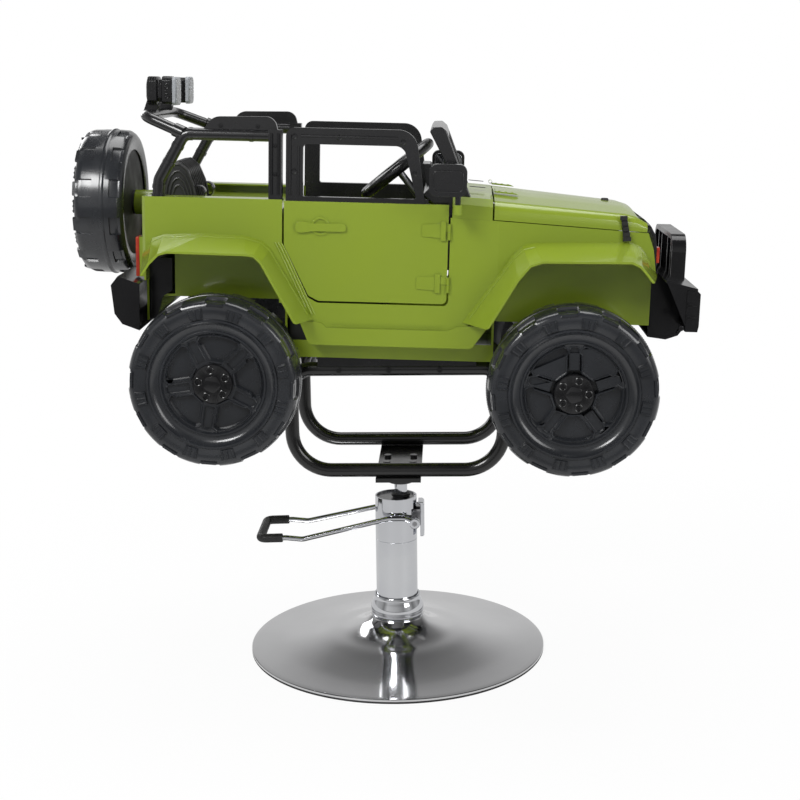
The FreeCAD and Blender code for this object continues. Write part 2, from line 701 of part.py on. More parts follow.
def pedal_rod():
    arms = []
    points = []
    for x, z in PEDAL_PATH_SHARES:
        share = min(1, abs(x) / abs(PEDAL_PATH_SHARES[3][0]))
        y = PEDAL_Y + (PEDAL_END_Y - PEDAL_Y) * share
        points.append(V(PIVOT_X + PEDAL_REACH * x, y, PIVOT_Z + PEDAL_REACH * z))
    points[0].y = PEDAL_Y
    back = [V(p.x, -p.y, p.z) for p in reversed(points)]
    bends = [0] + [PEDAL_BEND] * 4 + [PEDAL_ROD_RADIUS * 2] * 2 + [PEDAL_BEND] * 4 + [0]
    frame = tube(points + back, bends, PEDAL_ROD_RADIUS, False)
    half = PEDAL_ROD_RADIUS
    for y in (-PEDAL_Y, PEDAL_Y):
        eye = Part.makeCylinder(EYE_RADIUS, half * 2, V(PIVOT_X, y - half, PIVOT_Z), DIR_Y)
        arms.append(eye)
    frame = fuse([frame] + arms)
    pin = rod(V(PIVOT_X, -PIVOT_HALF * 2, PIVOT_Z), V(PIVOT_X, PIVOT_HALF * 2, PIVOT_Z),
        PIVOT_RADIUS + RUN_GAP)
    return frame.cut(pin)


def pedal_grip():
    x = PIVOT_X - PEDAL_REACH
    z = PIVOT_Z + PEDAL_REACH * PEDAL_PATH_SHARES[-1][1]
    sleeve = rod(V(x, -GRIP_HALF, z), V(x, GRIP_HALF, z), GRIP_RADIUS)
    return sleeve.cut(rod(V(x, -PEDAL_END_Y, z), V(x, PEDAL_END_Y, z), PEDAL_ROD_RADIUS + RUN_GAP))


def pedal_pin():
    # Pivot pin with a round nose that presses the plunger, and two screw heads
    half = PEDAL_Y + PEDAL_ROD_RADIUS + SEAT_GAP + BOLT_HEAD_HEIGHT
    pin = rod(V(PIVOT_X, -half, PIVOT_Z), V(PIVOT_X, half, PIVOT_Z), PIVOT_RADIUS)
    nose = rod(V(PIVOT_X - NOSE_ARM, -CAM_HALF, PIVOT_Z), V(PIVOT_X - NOSE_ARM, CAM_HALF, PIVOT_Z),
        NOSE_RADIUS)
    arm = slab(PIVOT_X - NOSE_ARM, PIVOT_X, -CAM_HALF, CAM_HALF, PIVOT_Z - NOSE_RADIUS,
        PIVOT_Z + NOSE_RADIUS)
    parts = [pin, nose, arm]
    reach = PEDAL_Y + PEDAL_ROD_RADIUS
    for side in (-1, 1):
        start = V(PIVOT_X, side * (reach + SEAT_GAP), PIVOT_Z)
        end = V(PIVOT_X, side * (reach + SEAT_GAP + BOLT_HEAD_HEIGHT), PIVOT_Z)
        parts.append(rod(start, end, BOLT_HEAD_RADIUS))
    return fuse(parts)


def hub_bolt_spots():
    spots = []
    for k in range(4):
        angle = math.pi * (k + HUB_BOLT_TURN) / 2
        spots.append((RAM_X + HUB_BOLT_CIRCLE * math.cos(angle), HUB_BOLT_CIRCLE * math.sin(angle)))
    return spots


def hub_flange():
    rim = Part.makeCylinder(HUB_RADIUS, HUB_PLATE, V(RAM_X, 0, HUB_Z))
    neck = Part.makeCone(HUB_NECK_RADIUS, HUB_NECK_RADIUS + HUB_PLATE / 2, HUB_Z - HUB_NECK_Z,
        V(RAM_X, 0, HUB_NECK_Z))
    hub = fuse([rim, neck])
    hub = hub.cut(Part.makeCylinder(RAM_RADIUS + RUN_GAP, STRAP_TOP_Z, V(RAM_X, 0, 0)))
    for x, y in hub_bolt_spots():
        hub = hub.cut(Part.makeCylinder(HUB_BOLT_RADIUS + RUN_GAP, STRAP_TOP_Z, V(x, y, 0)))
    return hub


def strap_plate():
    reach = LOOP_Y + TUBE_RADIUS
    strap = slab(RAM_X - STRAP_HALF, RAM_X + STRAP_HALF, -reach, reach, STRAP_Z, STRAP_TOP_Z)
    for x, y in hub_bolt_spots():
        strap = strap.cut(Part.makeCylinder(HUB_BOLT_RADIUS + RUN_GAP, LOOP_HIGH_Z, V(x, y, 0)))
    return strap


def hub_bolts():
    parts = []
    for x, y in hub_bolt_spots():
        low = HUB_Z - BOLT_HEAD_HEIGHT
        high = STRAP_TOP_Z + BOLT_HEAD_HEIGHT
        shank = Part.makeCylinder(HUB_BOLT_RADIUS, high - low, V(x, y, low))
        head = Part.makeCylinder(BOLT_HEAD_RADIUS, BOLT_HEAD_HEIGHT, V(x, y, low))
        nut = Part.makeCylinder(BOLT_HEAD_RADIUS, BOLT_HEAD_HEIGHT, V(x, y, STRAP_TOP_Z))
        parts.append(fuse([shank, head, nut]))
    return Part.makeCompound(parts)


def screw_xs():
    return [RAM_X + LOOP_HALF * share for share in SCREW_X_SHARES]


def loop(y):
    x0 = RAM_X - LOOP_HALF
    x1 = RAM_X + LOOP_HALF
    points = [
        V(RAM_X, y, LOOP_LOW_Z),
        V(x1, y, LOOP_LOW_Z),
        V(x1, y, LOOP_HIGH_Z),
        V(x0, y, LOOP_HIGH_Z),
        V(x0, y, LOOP_LOW_Z),
    ]
    bends = [0, LOOP_LOW_BEND, LOOP_HIGH_BEND, LOOP_HIGH_BEND, LOOP_LOW_BEND]
    ring = tube(points, bends, TUBE_RADIUS, True)
    for x in screw_xs():
        side = y - TUBE_RADIUS * 2
        hole = rod(V(x, side, LOOP_HIGH_Z), V(x, side + TUBE_RADIUS * 4, LOOP_HIGH_Z),
            SCREW_RADIUS + RUN_GAP)
        ring = ring.cut(hole)
    return ring


def saddle(y):
    # Wedge between the level tube and the car floor, with an inner leg behind the tube
    side = 1 if y > 0 else -1
    shapes = []
    for low, high in ((y - PAD_OUT, y + PAD_OUT),):
        x0 = RAM_X - PAD_HALF
        x1 = RAM_X + PAD_HALF
        corners = [(x0, LOOP_HIGH_Z), (x1, LOOP_HIGH_Z)]
        for x in (x1, x0):
            spot = world(x, TUB_Z)
            slope = math.tan(math.radians(PITCH_DEG))
            corners.append((x, spot.z + (spot.x - x) * slope))
        shapes.append(prism(corners, 0, low, high))
    inner = y - side * (PAD_OUT + PAD_LEG)
    low = min(inner, y - side * PAD_OUT)
    leg = [(x0, LOOP_HIGH_Z - TUBE_RADIUS), (x1, LOOP_HIGH_Z - TUBE_RADIUS)] + corners[2:]
    shapes.append(prism(leg, 0, low, low + PAD_LEG))
    pad = fuse(shapes)
    gap = TUBE_RADIUS + SEAT_GAP
    groove = rod(V(x0 - CUT_OVERRUN, y, LOOP_HIGH_Z), V(x1 + CUT_OVERRUN, y, LOOP_HIGH_Z), gap)
    pad = pad.cut(groove)
    for x in screw_xs():
        pad = pad.cut(rod(V(x, inner - side * CUT_OVERRUN, LOOP_HIGH_Z), V(x, y, LOOP_HIGH_Z),
            SCREW_RADIUS + RUN_GAP))
    return pad


def frame_screws():
    parts = []
    for side in (-1, 1):
        for x in screw_xs():
            out = side * (LOOP_Y + TUBE_RADIUS + SEAT_GAP)
            tip = side * (LOOP_Y - PAD_OUT - PAD_LEG)
            head_end = out + side * SCREW_HEAD_HEIGHT
            shank = rod(V(x, tip, LOOP_HIGH_Z), V(x, head_end, LOOP_HIGH_Z), SCREW_RADIUS)
            head = rod(V(x, out, LOOP_HIGH_Z), V(x, head_end, LOOP_HIGH_Z), SCREW_HEAD)
            parts.append(fuse([shank, head]))
    return Part.makeCompound(parts)


def plan(depth, low_share, high_share):
    # Upright block of the body plan, moved in by depth
    points = [V(px(x), y, pz(low_share)) for x, y in PLAN_SHARES]
    points += [V(p.x, -p.y, p.z) for p in reversed(points[1:-1])]
    wire = Part.makePolygon(points + [points[0]])
    face = Part.Face(wire)
    if depth != 0:
        face = face.makeOffset2D(-depth, 2, False, False,
            True) if depth > 0 else face.makeOffset2D(-depth, 2)
    return Part.Face(face.Wires[0]).extrude(V(0, 0, pz(high_share) - pz(low_share)))


def arch(root, depth, low, high):
    # Wheel arch cut, closed below
    shape = inset([(px(x), pz(z)) for x, z in root], depth, CUT_OVERRUN)
    return prism(shape, 0, low, high)


def liner(root):
    inner = arch(root, SKIN_LAP, BOX_HALF - WALL, HALF_WIDTH)
    outer = inset([(px(x), pz(z)) for x, z in root], LINER_LAP, 0)
    ring = prism(outer, 0, BOX_HALF - WALL, HALF_WIDTH)
    return ring.cut(inner)


def side_panel():
    low, high = PLAN_Z_SHARES
    shell = plan(0, low, high).cut(plan(SKIN, low, high))
    outline = plate(SIDE_SHARES, SIDE_RADII_SHARES, BOX_HALF, HALF_WIDTH + CUT_OVERRUN)
    panel = shell.common(outline)
    inner = plan(SKIN / 2, low, high)
    flange = grid_slab(SILL_FLANGE_SHARES, FLOOR_HALF, HALF_WIDTH)
    deck = grid_slab(DECK_FLANGE_SHARES, HALF_WIDTH - FLANGE_WIDTH, HALF_WIDTH)
    seam = plan(0, low, high).cut(plan(FLANGE_INNER, low, high))
    seam = seam.common(plate(SEAM_FLANGE_SHARES, 0, BOX_HALF - FLANGE_INNER, HALF_WIDTH))
    panel = fuse([panel, flange.common(inner), deck.common(inner), seam])
    for root in (REAR_ROOT_SHARES, FRONT_ROOT_SHARES):
        panel = panel.cut(arch(root, SKIN_LAP, BOX_HALF - CUT_OVERRUN, HALF_WIDTH + CUT_OVERRUN))
    knuckles = []
    for low_door, high_door, low_post, high_post in HINGE_Z_SHARES:
        knuckles += knuckle(low_post, high_post, STRAP_POST_SHARES[0], STRAP_POST_SHARES[1])
    rocker = plate(ROCKER_SHARES, ROCKER_RADII, HALF_WIDTH - SKIN / 2, HALF_WIDTH + ROCKER_OUT)
    plinth = grid_slab(TAIL_PLINTH_SHARES, TAIL_LAMP_HALVES[0], TAIL_LAMP_HALVES[1])
    panel = fuse([panel, rocker, plinth] + knuckles)
    for spot in HINGE_Z_SHARES:
        panel = panel.cut(pin_rod(spot, HINGE_PIN + RUN_GAP, CUT_OVERRUN))
    return panel


def knuckle(z0, z1, x0, x1):
    # Half of one hinge barrel with the leaf that joins it to the skin
    x = px(HINGE_X_SHARE)
    y = HALF_WIDTH + HINGE_OUT
    barrel = Part.makeCylinder(HINGE_RADIUS, pz(z1) - pz(z0), V(x, y, pz(z0)))
    ends = sorted([x, px(x0), px(x1)])
    leaf = slab(ends[0], ends[-1], HALF_WIDTH, HALF_WIDTH + STRAP_OUT, pz(z0), pz(z1))
    return [barrel, leaf]


def pin_rod(spot, radius, extra):
    z0 = pz(min(spot)) - extra
    z1 = pz(max(spot)) + extra
    return Part.makeCylinder(radius, z1 - z0, V(px(HINGE_X_SHARE), HALF_WIDTH + HINGE_OUT, z0))


def hinge_pins():
    pins = [pin_rod(spot, HINGE_PIN, 0) for spot in HINGE_Z_SHARES]
    pins += [mirrored(pin) for pin in pins]
    return Part.makeCompound(pins)


def door():
    skin = plate(DOOR_SHARES, DOOR_RADII_SHARES, HALF_WIDTH - DOOR_DEPTH, HALF_WIDTH)
    pocket = plate(DOOR_POCKET_SHARES, DOOR_RADII_SHARES[1], HALF_WIDTH - DOOR_DEPTH - CUT_OVERRUN,
        HALF_WIDTH - SKIN)
    door_shape = skin.cut(pocket)
    pieces = [door_shape]
    for low_door, high_door, low_post, high_post in HINGE_Z_SHARES:
        pieces += knuckle(low_door, high_door, STRAP_DOOR_SHARES[0], STRAP_DOOR_SHARES[1])
    bar = plate(HANDLE_SHARES, HANDLE_BEND, HALF_WIDTH - SKIN / 2, HALF_WIDTH + HANDLE_BAR_OUT)
    leaves = []
    for leaf_x, rib_x, end_x, middle in HINGE_LEAF_SHARES:
        near, far, rib = HINGE_LEAF_HALVES
        outline = [(leaf_x, middle - near), (leaf_x, middle + near), (rib_x, middle + far),
            (rib_x, middle - far)]
        leaves.append(plate(outline, 0, HALF_WIDTH - SKIN / 2, HALF_WIDTH + STRAP_OUT))
        span = (rib_x, end_x, middle - rib, middle + rib)
        leaves.append(grid_slab(span, HALF_WIDTH - SKIN / 2, HALF_WIDTH + LEAF_RIB_OUT))
    x, z = HANDLE_CENTRE_SHARE
    round_grip = Part.makeCylinder(HANDLE_RADIUS, HANDLE_OUT, V(px(x), HALF_WIDTH, pz(z)), DIR_Y)
    pieces.append(round_grip)
    door_shape = fuse(pieces)
    hollow = Part.makeCylinder(HANDLE_HOLLOW, CUT_OVERRUN, V(px(x), HALF_WIDTH, pz(z)), DIR_Y)
    door_shape = fuse([door_shape.cut(hollow), bar] + leaves)
    for spot in HINGE_Z_SHARES:
        door_shape = door_shape.cut(pin_rod(spot, HINGE_PIN + RUN_GAP, CUT_OVERRUN))
    return door_shape


def window_frame():
    low, high = FRAME_HALVES
    outer = plate(FRAME_OUTER_SHARES, FRAME_OUTER_RADII, low, high)
    rail = grid_slab(RAIL_SHARES, RAIL_HALVES[0], RAIL_HALVES[1])
    rail = rail.cut(plate([(x, z) for x, z in DOOR_SHARES], 0, HALF_WIDTH - DOOR_DEPTH, HALF_WIDTH))
    inner = plate(FRAME_INNER_SHARES, FRAME_INNER_RADII, low - CUT_OVERRUN, high + CUT_OVERRUN)
    frame = outer.cut(inner)
    return fuse([frame, rail])


def flare(root, lip, root_half):
    # Ruled shell from the body skin out to the lip, with a turned lip band
    depth = FLARE_HALF - HALF_WIDTH
    inward = HALF_WIDTH - root_half
    root_points = [(px(x), pz(z)) for x, z in root]
    lip_points = [(px(x), pz(z)) for x, z in lip]
    start = []
    for (rx, rz), (lx, lz) in zip(root_points, lip_points):
        start.append((rx - (lx - rx) * inward / depth, rz - (lz - rz) * inward / depth))
    outer = ruled(start, lip_points, root_half, FLARE_HALF)
    over_y = CUT_OVERRUN / depth
    ahead = []
    for (rx, rz), (lx, lz) in zip(root_points, lip_points):
        ahead.append((lx + (lx - rx) * over_y, lz + (lz - rz) * over_y))
    inner = ruled(
        inset(start, SKIN, CUT_OVERRUN),
        inset(ahead, SKIN, CUT_OVERRUN),
        root_half,
        FLARE_HALF + CUT_OVERRUN,
    )
    shell = outer.cut(inner)
    lip_outer = prism(lip_points, 0, FLARE_HALF - SKIN, FLARE_HALF)
    lip_inner = prism(inset(lip_points, FLARE_LIP, CUT_OVERRUN), 0, root_half, FLARE_HALF + CUT_OVERRUN)
    band = lip_outer.cut(lip_inner)
    whole = fuse([shell, band])
    low, high = PLAN_Z_SHARES
    return whole.cut(plan(0, low, high))


def ruled(first, second, low, high):
    wires = []
    for points, y in ((first, low), (second, high)):
        flat = [V(x, y, z) for x, z in points]
        wires.append(Part.makePolygon(flat + [flat[0]]))
    return Part.makeLoft(wires, True, True)


def body_tub():
    pieces = [
        grid_slab(FLOOR_SHARES, -FLOOR_HALF, FLOOR_HALF),
        grid_slab(TOE_SHARES, -FLOOR_HALF, FLOOR_HALF),
        grid_slab(FRONT_BOTTOM_SHARES, -BOX_HALF, BOX_HALF),
        grid_slab(FRONT_END_SHARES, -BOX_HALF, BOX_HALF),
        grid_slab(FIREWALL_SHARES, -HALF_WIDTH, HALF_WIDTH),
        grid_slab(HEEL_SHARES, -FLOOR_HALF, FLOOR_HALF),
        grid_slab(REAR_BOTTOM_SHARES, -BOX_HALF, BOX_HALF),
        grid_slab(DECK_SHARES, -HALF_WIDTH, HALF_WIDTH),
        grid_slab(BACK_WALL_SHARES, -HALF_WIDTH, HALF_WIDTH),
        grid_slab(TAIL_WALL_SHARES, -TAIL_HALF_WALL, TAIL_HALF_WALL),
    ]
    for turn in (False, True):
        walls = [
            grid_slab(FLOOR_SIDE_SHARES, FLOOR_HALF - WALL, FLOOR_HALF),
            grid_slab(LEDGE_SHARES, FLOOR_HALF - WALL, LEDGE_HALF),
            grid_slab(FRONT_WALL_SHARES, BOX_HALF - WALL, BOX_HALF),
            grid_slab(REAR_WALL_SHARES, BOX_HALF - WALL, BOX_HALF),
            liner(REAR_ROOT_SHARES),
            liner(FRONT_ROOT_SHARES),
        ]
        if turn:
            walls = [mirrored(wall) for wall in walls]
        pieces += walls
    tub = fuse(pieces)
    low, high = PLAN_Z_SHARES
    tub = tub.common(plan(SKIN, low, high).fuse(tail_keep()))
    start, along = column()
    reach = start + along * (SHAFT_LENGTH + CUT_OVERRUN)
    return tub.cut(rod(start, reach, SHAFT_RADIUS + SHAFT_ROOM))


def tail_keep():
    # Room for the black tail wall that stands flush with the rear skin
    x0, x1, z0, z1 = TAIL_WALL_SHARES
    return grid_slab((x0, x1 + WALL, z0, z1), -TAIL_HALF_WALL, TAIL_HALF_WALL)


def rear_panel():
    panel = grid_slab(REAR_PANEL_SHARES, -REAR_PANEL_HALF, REAR_PANEL_HALF)
    foot = grid_slab(REAR_FOOT_SHARES, -REAR_FOOT_HALF, REAR_FOOT_HALF)
    x = px(REAR_PANEL_SHARES[0])
    z = pz(SPARE_Z_SHARE)
    wheel_x = px(SPARE_X_SHARE)
    boss_x = wheel_x - SPARE_WIDTH * BOSS_SPAN_SHARES[0]
    stud_x = wheel_x - SPARE_WIDTH * SPARE_STUD_SHARE
    seat = rod(V(x, 0, z), V(x - WALL, 0, z), SPARE_PLATE_RADIUS)
    boss = rod(V(x, 0, z), V(boss_x, 0, z), SPARE_BOSS_RADIUS)
    stud = rod(V(x, 0, z), V(stud_x, 0, z), AXLE_RADIUS - SEAT_GAP)
    return fuse([panel, foot, seat, boss, stud])


def section(x, half, seam, top, side, shoulder, fall):
    # Half round shouldered cross section, mirrored to a closed wire
    edge_top = top - fall
    turn = min(shoulder, half / 2)
    left = [V(x, -half, seam), V(x, -half, edge_top - turn)]
    corner = V(x, -half, edge_top)
    arc_end = V(x, -(half - turn), edge_top)
    mid = V(x, -half + turn * BONNET_ARC_SHARE, edge_top - turn * BONNET_ARC_SHARE)
    crown = V(x, 0, top)
    edges = [
        Part.makeLine(left[0], left[1]),
        Part.Arc(left[1], mid, arc_end).toShape(),
        Part.Arc(arc_end, crown, V(x, -arc_end.y, arc_end.z)).toShape(),
        Part.Arc(V(x, -arc_end.y, arc_end.z), V(x, -mid.y, mid.z), V(x, half, left[1].z)).toShape(),
        Part.makeLine(V(x, half, left[1].z), V(x, half, seam)),
        Part.makeLine(V(x, half, seam), left[0]),
    ]
    return Part.Wire(edges)


def half_at(x):
    # Half width of the body plan at a length
    x0 = px(PLAN_SHARES[3][0])
    x1 = px(PLAN_SHARES[4][0])
    share = min(1, max(0, (x - x0) / (x1 - x0)))
    return HALF_WIDTH + (NOSE_HALF - HALF_WIDTH) * share


def bonnet():
    outer = []
    inner = []
    first = px(BONNET_SHARES[0][0])
    last = px(BONNET_SHARES[-1][0])
    for x, seam, top in BONNET_SHARES:
        half = half_at(px(x))
        low = pz(seam) + BONNET_SEAM
        rise = pz(top) - pz(seam)
        fall = rise * BONNET_FALL_SHARE
        turn = rise * BONNET_SHOULDER_SHARE
        outer.append(section(px(x), half, low, pz(top), 0, turn, fall))
        share = (px(x) - first) / (last - first)
        deep = px(x) + CUT_OVERRUN * (share * 2 - 1)
        inner.append(section(deep, half - SKIN, pz(seam) - CUT_OVERRUN, pz(top) - SKIN, 0, turn, fall))
    return Part.makeLoft(outer, True, True).cut(Part.makeLoft(inner, True, True))


def cowl_block(depth, extra):
    wires = []
    for k, (x, seam, top) in enumerate(COWL_SHARES):
        half = HALF_WIDTH - depth
        low = pz(seam) - depth * extra
        high = pz(top) - depth
        side = high - COWL_FALL
        along = px(x) + depth * extra * (k * 2 - 1)
        points = [V(along, -half, low), V(along, -half, side - COWL_SHOULDER),
            V(along, -half + COWL_SHOULDER, side)]
        points += [V(along, 0, high)]
        points += [V(p.x, -p.y, p.z) for p in reversed(points[:-1])]
        wires.append(Part.makePolygon(points + [points[0]]))
    return Part.makeLoft(wires, True, True)


def cowl():
    shell = cowl_block(0, 0).cut(cowl_block(SKIN, CUT_OVERRUN))
    x = px(MIRROR_X_SHARE)
    pieces = [shell]
    for side in (False, True):
        boss = Part.makeCylinder(BOSS_RADIUS, pz(BOSS_Z_SHARES[1]) - pz(BOSS_Z_SHARES[0]),
            V(x, MIRROR_Y, pz(BOSS_Z_SHARES[0])))
        arm = grid_slab(BRACKET_SHARES, HALF_WIDTH - SKIN, MIRROR_Y)
        hole = Part.makeCylinder(MIRROR_PIN + RUN_GAP, CUT_OVERRUN * 3,
            V(x, MIRROR_Y, pz(MIRROR_PIN_LOW_SHARE) - SEAT_GAP))
        bracket = fuse([boss, arm]).cut(hole)
        pieces.append(mirrored(bracket) if side else bracket)
    return fuse(pieces)


def mirror():
    x = px(MIRROR_X_SHARE)
    low = MIRROR_Y - MIRROR_THICK / 2
    head = plate(MIRROR_SHARES, MIRROR_BEND, low, low + MIRROR_THICK)
    base = pz(BOSS_Z_SHARES[1]) + SEAT_GAP
    stalk = Part.makeCylinder(MIRROR_STALK, pz(MIRROR_SHARES[0][1]) - base, V(x, MIRROR_Y, base))
    pin_low = pz(MIRROR_PIN_LOW_SHARE)
    pin = Part.makeCylinder(MIRROR_PIN, base - pin_low, V(x, MIRROR_Y, pin_low))
    return fuse([head, stalk, pin])


def nose_panel():
    points = NOSE_OUTER_SHARES + NOSE_INNER_SHARES
    panel = plate(points, 0, -NOSE_PANEL_HALF, NOSE_PANEL_HALF)
    # Its top corners round off with the bonnet's front edge
    end, seam, top = BONNET_SHARES[-1]
    rise = pz(top) - pz(seam)
    turn = rise * BONNET_SHOULDER_SHARE
    low = pz(NOSE_OUTER_SHARES[-1][1]) - CUT_OVERRUN
    outline = section(px(end), NOSE_PANEL_HALF, low, pz(top), 0, turn, rise * BONNET_FALL_SHARE)
    reach = px(NOSE_OUTER_SHARES[-1][0]) - px(end) + CUT_OVERRUN
    panel = panel.common(Part.Face(outline).extrude(V(reach, 0, 0)))
    x0 = px(NOSE_INNER_SHARES[0][0]) - CUT_OVERRUN
    x1 = px(NOSE_OUTER_SHARES[-1][0]) + CUT_OVERRUN
    z = pz(NOSE_LAMP_Z_SHARE)
    for side in (-1, 1):
        hole = rod(V(x0, side * NOSE_LAMP_Y, z), V(x1, side * NOSE_LAMP_Y, z),
            NOSE_LAMP_RADIUS + SEAT_GAP)
        panel = panel.cut(hole)
    for low, high in GRILLE_SHARES:
        panel = panel.cut(slab(x0, x1, -GRILLE_HALF, GRILLE_HALF, pz(low), pz(high)))
    return panel


def lamp_lenses():
    parts = []
    z = pz(NOSE_LAMP_Z_SHARE)
    x = px(NOSE_INNER_SHARES[0][0])
    roof_x = px(LAMP_SHARES[1])
    for side in (-1, 1):
        parts.append(rod(V(x, side * NOSE_LAMP_Y, z), V(x + NOSE_LAMP_DEPTH, side * NOSE_LAMP_Y, z),
            NOSE_LAMP_RADIUS))
        parts.append(lamp_box(side * LAMP_Y, roof_x, roof_x + LENS_STAND, LENS_RADIUS))
    return Part.makeCompound(parts)


def signal_lenses():
    parts = []
    for shares, halves in ((MARKER_SHARES, MARKER_HALVES), (TAIL_LAMP_SHARES, TAIL_LAMP_HALVES)):
        block = grid_slab(shares, halves[0], halves[1])
        parts += [block, mirrored(block)]
    return Part.makeCompound(parts)


def bonnet_latches():
    low, high = PLAN_Z_SHARES
    band = plan(-LATCH_THICK, low, high).cut(plan(0, low, high))
    strap = band.common(plate(LATCH_SHARES, LATCH_THICK / 2, BOX_HALF, HALF_WIDTH + CUT_OVERRUN))
    return Part.makeCompound([strap, mirrored(strap)])


def cage_side():
    points = [V(px(x), CAGE_Y, pz(z)) for x, z in CAGE_PATH_SHARES]
    rail = tube(points, CAGE_BEND, CAGE_RADIUS, False)
    pillar = grid_slab(PILLAR_SHARES, CAGE_Y - CAGE_RADIUS, CAGE_Y + CAGE_RADIUS)
    hump = plate(HUMP_SHARES, HUMP_RADII, HUMP_HALVES[0], HUMP_HALVES[1])
    foot = Part.makeCylinder(CAGE_FOOT_RADIUS - SKIN / 2, CAGE_FOOT_HEIGHT, points[0])
    corner = points[2]
    start, along = bar_start()
    stub = rod(corner, start, STUB_RADIUS)
    x0, x1, low = CAGE_CUT_SHARES
    low_cut = slab(px(x0), px(x1), 0, HALF_WIDTH * 2, pz(low), pz(CAGE_PATH_SHARES[0][1]))
    return fuse([rail, pillar, hump, foot, stub]).cut(low_cut)


def bar_start():
    x, z = CAGE_PATH_SHARES[2]
    corner = V(px(x), CAGE_Y, pz(z))
    bend = V(px(BAR_CORNER_SHARES[0]), BAR_CORNER_Y, pz(BAR_CORNER_SHARES[1]))
    along = bend - corner
    along.normalize()
    return corner + along * STUB_LENGTH, along


def light_bar():
    start, along = bar_start()
    bend = V(px(BAR_CORNER_SHARES[0]), BAR_CORNER_Y, pz(BAR_CORNER_SHARES[1]))
    points = [start, bend, V(bend.x, -bend.y, bend.z), V(start.x, -start.y, start.z)]
    return tube(points, BAR_BEND, BAR_RADIUS, False)


def lamp_box(y, start, end, half):
    # Eight-sided housing of a roof lamp
    cut = half * LAMP_CUT_SHARE
    z = pz(LAMP_Z_SHARE)
    outline = [
        (half, cut - half), (half, half - cut), (half - cut, half), (cut - half, half),
        (-half, half - cut), (-half, cut - half), (cut - half, -half), (half - cut, -half),
    ]
    wire = Part.makePolygon([V(start, y + a, z + b) for a, b in outline + outline[:1]])
    return Part.Face(wire).extrude(V(end - start, 0, 0))


def roof_lamps():
    parts = []
    bar_x = px(BAR_CORNER_SHARES[0])
    bar_z = pz(BAR_CORNER_SHARES[1])
    back = px(LAMP_SHARES[0])
    front = px(LAMP_SHARES[1])
    for side in (-1, 1):
        y = side * LAMP_Y
        body = lamp_box(y, back, front, LAMP_RADIUS)
        rim = lamp_box(y, front, front + LENS_DEPTH, LAMP_RADIUS)
        rim = rim.cut(lamp_box(y, front, front + LENS_DEPTH, LENS_RADIUS + SEAT_GAP))
        foot = plate(LAMP_FOOT_SHARES, 0, y - LAMP_FOOT_HALF, y + LAMP_FOOT_HALF)
        lamp = fuse([body, rim, foot])
        tube = rod(V(bar_x, y - LAMP_RADIUS, bar_z), V(bar_x, y + LAMP_RADIUS, bar_z),
            BAR_RADIUS + SEAT_GAP)
        parts.append(lamp.cut(tube))
    return Part.makeCompound(parts)


def rear_pod():
    pod = plate(POD_SHARES, POD_RADII, -POD_HALF, POD_HALF)
    return pod.cut(plate(POD_HOLLOW_SHARES, 0, WALL - POD_HALF, POD_HALF - WALL))


def seat():
    outer = plate(SEAT_OUTER_SHARES, SEAT_RADII, -SEAT_HALF, SEAT_HALF)
    inner = plate(SEAT_INNER_SHARES, 0, -SEAT_HALF + WALL, SEAT_HALF - WALL)
    return outer.cut(inner)


def dash():
    outer = plate(DASH_OUTER_SHARES, 0, -DASH_HALF, DASH_HALF)
    inner = plate(DASH_INNER_SHARES, 0, -DASH_HALF + WALL, DASH_HALF - WALL)
    hood = plate(BINNACLE_SHARES, 0, -BINNACLE_HALF, BINNACLE_HALF)
    panel = fuse([outer, hood]).cut(inner)
    start, along = column()
    return panel.cut(rod(start, start + along * SHAFT_LENGTH, SHAFT_RADIUS + SHAFT_ROOM))


def screen_frame():
    whole = plate(SCREEN_SHARES, 0, -SCREEN_HALF, SCREEN_HALF)
    x0 = px(SCREEN_SHARES[0][0]) - CUT_OVERRUN
    x1 = px(SCREEN_SHARES[5][0]) + CUT_OVERRUN
    half = SCREEN_HALF - SCREEN_POST
    opening = slab(x0, x1, -half, half, pz(SCREEN_SHARES[5][1]) - CUT_OVERRUN, pz(SCREEN_TOP_SHARE))
    return whole.cut(opening).cut(cowl_block(0, 0))


def column():
    slope = math.radians(COLUMN_SLOPE_DEG)
    x, z = WHEEL_CENTRE_SHARE
    return V(px(x), 0, pz(z)), V(math.cos(slope), 0, -math.sin(slope))


def steering_wheel():
    start, along = column()
    ring = Part.makeTorus(RIM_RADIUS, RIM_TUBE, start, along)
    top = start - along * (STEER_HUB_HEIGHT / 2)
    hub = rod(top, top + along * STEER_HUB_HEIGHT, STEER_HUB_RADIUS)
    spokes = []
    for k in range(STEER_SPOKES):
        angle = FULL_TURN * k / STEER_SPOKES
        bar = Part.makeBox(RIM_RADIUS, SPOKE_WIDTH, SPOKE_THICK,
            V(0, -SPOKE_WIDTH / 2, -SPOKE_THICK / 2))
        bar.rotate(V(0, 0, 0), DIR_Z, angle)
        bar.rotate(V(0, 0, 0), DIR_Y, COLUMN_SLOPE_DEG - RIGHT_ANGLE)
        bar.translate(start)
        spokes.append(bar)
    wheel = fuse([ring, hub] + spokes)
    seat_hole = rod(top - along, top + along * (HORN_HEIGHT + HORN_TRAVEL - SEAT_GAP),
        HORN_RADIUS + SEAT_GAP)
    shaft_hole = rod(start, start + along * SHAFT_LENGTH, SHAFT_RADIUS)
    return wheel.cut(seat_hole).cut(shaft_hole)


def horn_button():
    start, along = column()
    top = start - along * (STEER_HUB_HEIGHT / 2)
    base = top + along * (HORN_HEIGHT)
    return rod(base - along * (HORN_HEIGHT + HORN_TRAVEL), base, HORN_RADIUS)


